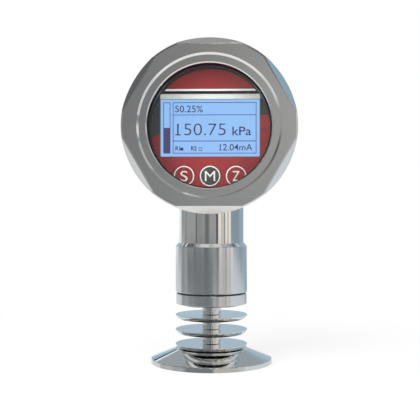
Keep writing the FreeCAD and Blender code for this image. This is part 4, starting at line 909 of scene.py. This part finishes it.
def letters(name, words, span, base, cap, front, material, body, weight=0.0):
    """Words as a flat mesh that fills `span` (from, to) and stands on `base`, capitals `cap` high (mm).

    Returns the mesh and its points on the face, in mm from the head's axis.
    """
    mesh, points = type_mesh(words, weight)
    left, right = points[:, 0].min(), points[:, 0].max()
    scale = cap / capital
    across = (points[:, 0] - left) / (right - left) * (span[1] - span[0]) + span[0]
    flat = np.stack([across, points[:, 1] * scale + base], -1)
    depth = np.where(points[:, 2] > 0, front, front + ink_thickness)
    placed = np.stack([flat[:, 0] / 1000, depth, head_level + flat[:, 1] / 1000], -1)
    mesh.vertices.foreach_set("co", placed.ravel())
    mesh.name = name
    mesh.materials.clear()
    mesh.materials.append(material)
    made = bpy.data.objects.new(name, mesh)
    bpy.context.collection.objects.link(made)
    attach(made, body)
    print(name, "is", round((span[1] - span[0]) / ((right - left) * scale), 2), "of its natural width")
    return mesh, flat


def foot_of_one(mesh, flat, base, cap):
    """The foot under a leading figure 1, as a path for `ribbons`.

    The figure's stroke is an island: points joined by edges. Each point starts with its own
    number and takes the lowest number of its neighbours until nothing changes, and then the
    points of one island share a number. The island farthest left is the figure 1.
    """
    ends = np.array([edge.vertices[:] for edge in mesh.edges])
    island = np.arange(len(flat))
    changed = True
    while changed:
        before = island.copy()
        lowest = np.minimum(island[ends[:, 0]], island[ends[:, 1]])
        np.minimum.at(island, ends[:, 0], lowest)
        np.minimum.at(island, ends[:, 1], lowest)
        changed = (before != island).any()
    _, end = min((flat[island == i, 0].min(), flat[island == i, 0].max()) for i in np.unique(island))
    stroke = foot_stroke * cap
    middle = base + stroke / 2
    return [(end - foot_before * cap, middle), (end + foot_after * cap, middle)], stroke, False


# %% [markdown]
# ## What the display shows
# A frame with two rules holds three rows: the share of the range, the pressure with its unit, and
# the loop current with the state of two relays. On the left stands a bar graph. The readings are
# made up, but agree with one another: 150.75 kPa is 50.25 % of 300 kPa, and 12.04 mA lies at the
# same share of a 4 to 20 mA loop. The bar is filled to that share too.

# %% Frame, rules and bar graph
# all in mm from the head's axis
page_left, page_right, page_low, page_high = -18.75, 23.3, -12.75, 12.85
upper_rule, lower_rule = 6.65, -6.6
bar_left, bar_right = -23.6, -20.3
line_width, lower_rule_width, mark_width = 0.34, 0.42, 0.25
share_of_range = 0.5025

ribbons("lcd_lines", [
    (frame_path(page_left, page_right, page_low, page_high), line_width, True),
    ([(page_left, upper_rule), (page_right, upper_rule)], line_width, False),
    ([(page_left, lower_rule), (page_right, lower_rule)], lower_rule_width, False),
    (frame_path(bar_left, bar_right, page_low, page_high), line_width, True),
], ink_front, line_ink, "display_head")

bar_middle = (bar_left + bar_right) / 2
bar_top = page_low + share_of_range * (page_high - page_low)
ribbons("lcd_bar", [
    ([(bar_middle, page_low), (bar_middle, bar_top)], bar_right - bar_left, False),
], ink_front - ink_thickness, bar_ink, "display_head")

# %% Readings and marks
middle_row, bottom_row = -3.7, -11.4
mark_top = -10.0
# each reading: name, words, span, base line, height of a capital, weight
readings = [
    ("lcd_percent", "50.25%", (-17.8, -3.7), 8.0, 3.3, 0.004),
    ("lcd_reading", "150.75", (-16.7, 7.9), middle_row, 6.0, -0.012),
    ("lcd_unit", "kPa", (11.3, 20.8), middle_row, 4.3, 0.004),
    ("lcd_current", "12.04mA", (4.9, 21.4), bottom_row, 3.2, 0.004),
    ("lcd_relay_1", "R1", (-17.6, -15.2), bottom_row, 2.1, 0.02),
    ("lcd_relay_2", "R2", (-9.7, -6.8), bottom_row, 2.1, 0.02),
]
# the marks of the two relays, a full square and an empty one
marks = [
    ([(-14.35, bottom_row), (-14.35, mark_top)], 1.5, False),
    (frame_path(-5.6, -4.2, bottom_row, mark_top), mark_width, True),
]
for name, words, span, base, cap, weight in readings:
    mesh, flat = letters(name, words, span, base, cap, ink_front, digit_ink, "display_head", weight)
    if words.startswith("1"):
        marks.append(foot_of_one(mesh, flat, base, cap))
ribbons("lcd_marks", marks, ink_front, digit_ink, "display_head")

# %% [markdown]
# ## Letters on the keys
# The keys' letters are printed on their faces, so they ride on the keys' own bodies and go in with
# them when a key is pressed.

# %% Key legends
legend_width = {"s": 3.7, "m": 5.2, "z": 3.8}
legend_cap = 5.1
for name, (low, _) in key_boxes.items():
    across, up = key_centre[name]
    span = (across - legend_width[name] / 2, across + legend_width[name] / 2)
    letters("legend_" + name, name.upper(), span, up - legend_cap / 2, legend_cap, low.y - ink_thickness,
            legend_white, name + "_key")

# %% [markdown]
# ## Handing out the finishes
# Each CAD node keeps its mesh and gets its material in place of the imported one. A table by
# material shows at a glance what is made of the same stuff, and the cell prints any node that
# was forgotten.

# %% Give every node its material
finish_of = {
    polished: ["clamp_ferrule", "cooling_neck"],
    tube_steel: ["neck_tube"],
    satin: ["sensor_sleeve", "coupling_collar"],
    lid_steel: ["lid_bezel"],
    head_steel: ["head_housing"],
    inner_steel: ["process_diaphragm", "swivel_nut", "pressure_cell", "cell_retaining_ring", "stop_pin",
                  "sensor_capillary"],
    inner_head_steel: ["module_screws", "front_pillars", "rear_pillars", "earth_screw", "earth_clamp",
                       "terminal_screws"],
    nickel: ["gland_body", "gland_nut", "vent_plug"],
    gold: ["cell_pins"],
    frame_paint: ["lcd_frame"],
    rubber: ["dust_seal", "swivel_o_ring", "lid_o_ring", "gland_washer", "gland_seal"],
    black_ring: ["window_gasket", "window_retaining_ring"],
    black_plastic: ["display_carrier", "terminal_block", "key_switches", "lcd_spacer"],
    white_plastic: ["swivel_washer", "gland_slip_ring", "vent_filter"],
    light_guide: ["lcd_backlight"],
    board_green: ["display_board", "main_board"],
    chip_black: ["board_parts"],
    clear_glass: ["window_glass"],
    faceplate_print: ["faceplate"],
    key_print["s"]: ["key_s"],
    key_print["m"]: ["key_m"],
    key_print["z"]: ["key_z"],
    lcd_glow: ["lcd_panel"],
}
for material, names in finish_of.items():
    for name in names:
        mesh = nodes[name].data
        mesh.materials.clear()
        mesh.materials.append(material)
finished = {name for names in finish_of.values() for name in names}
print("nodes without a finish:", sorted(set(nodes) - finished))
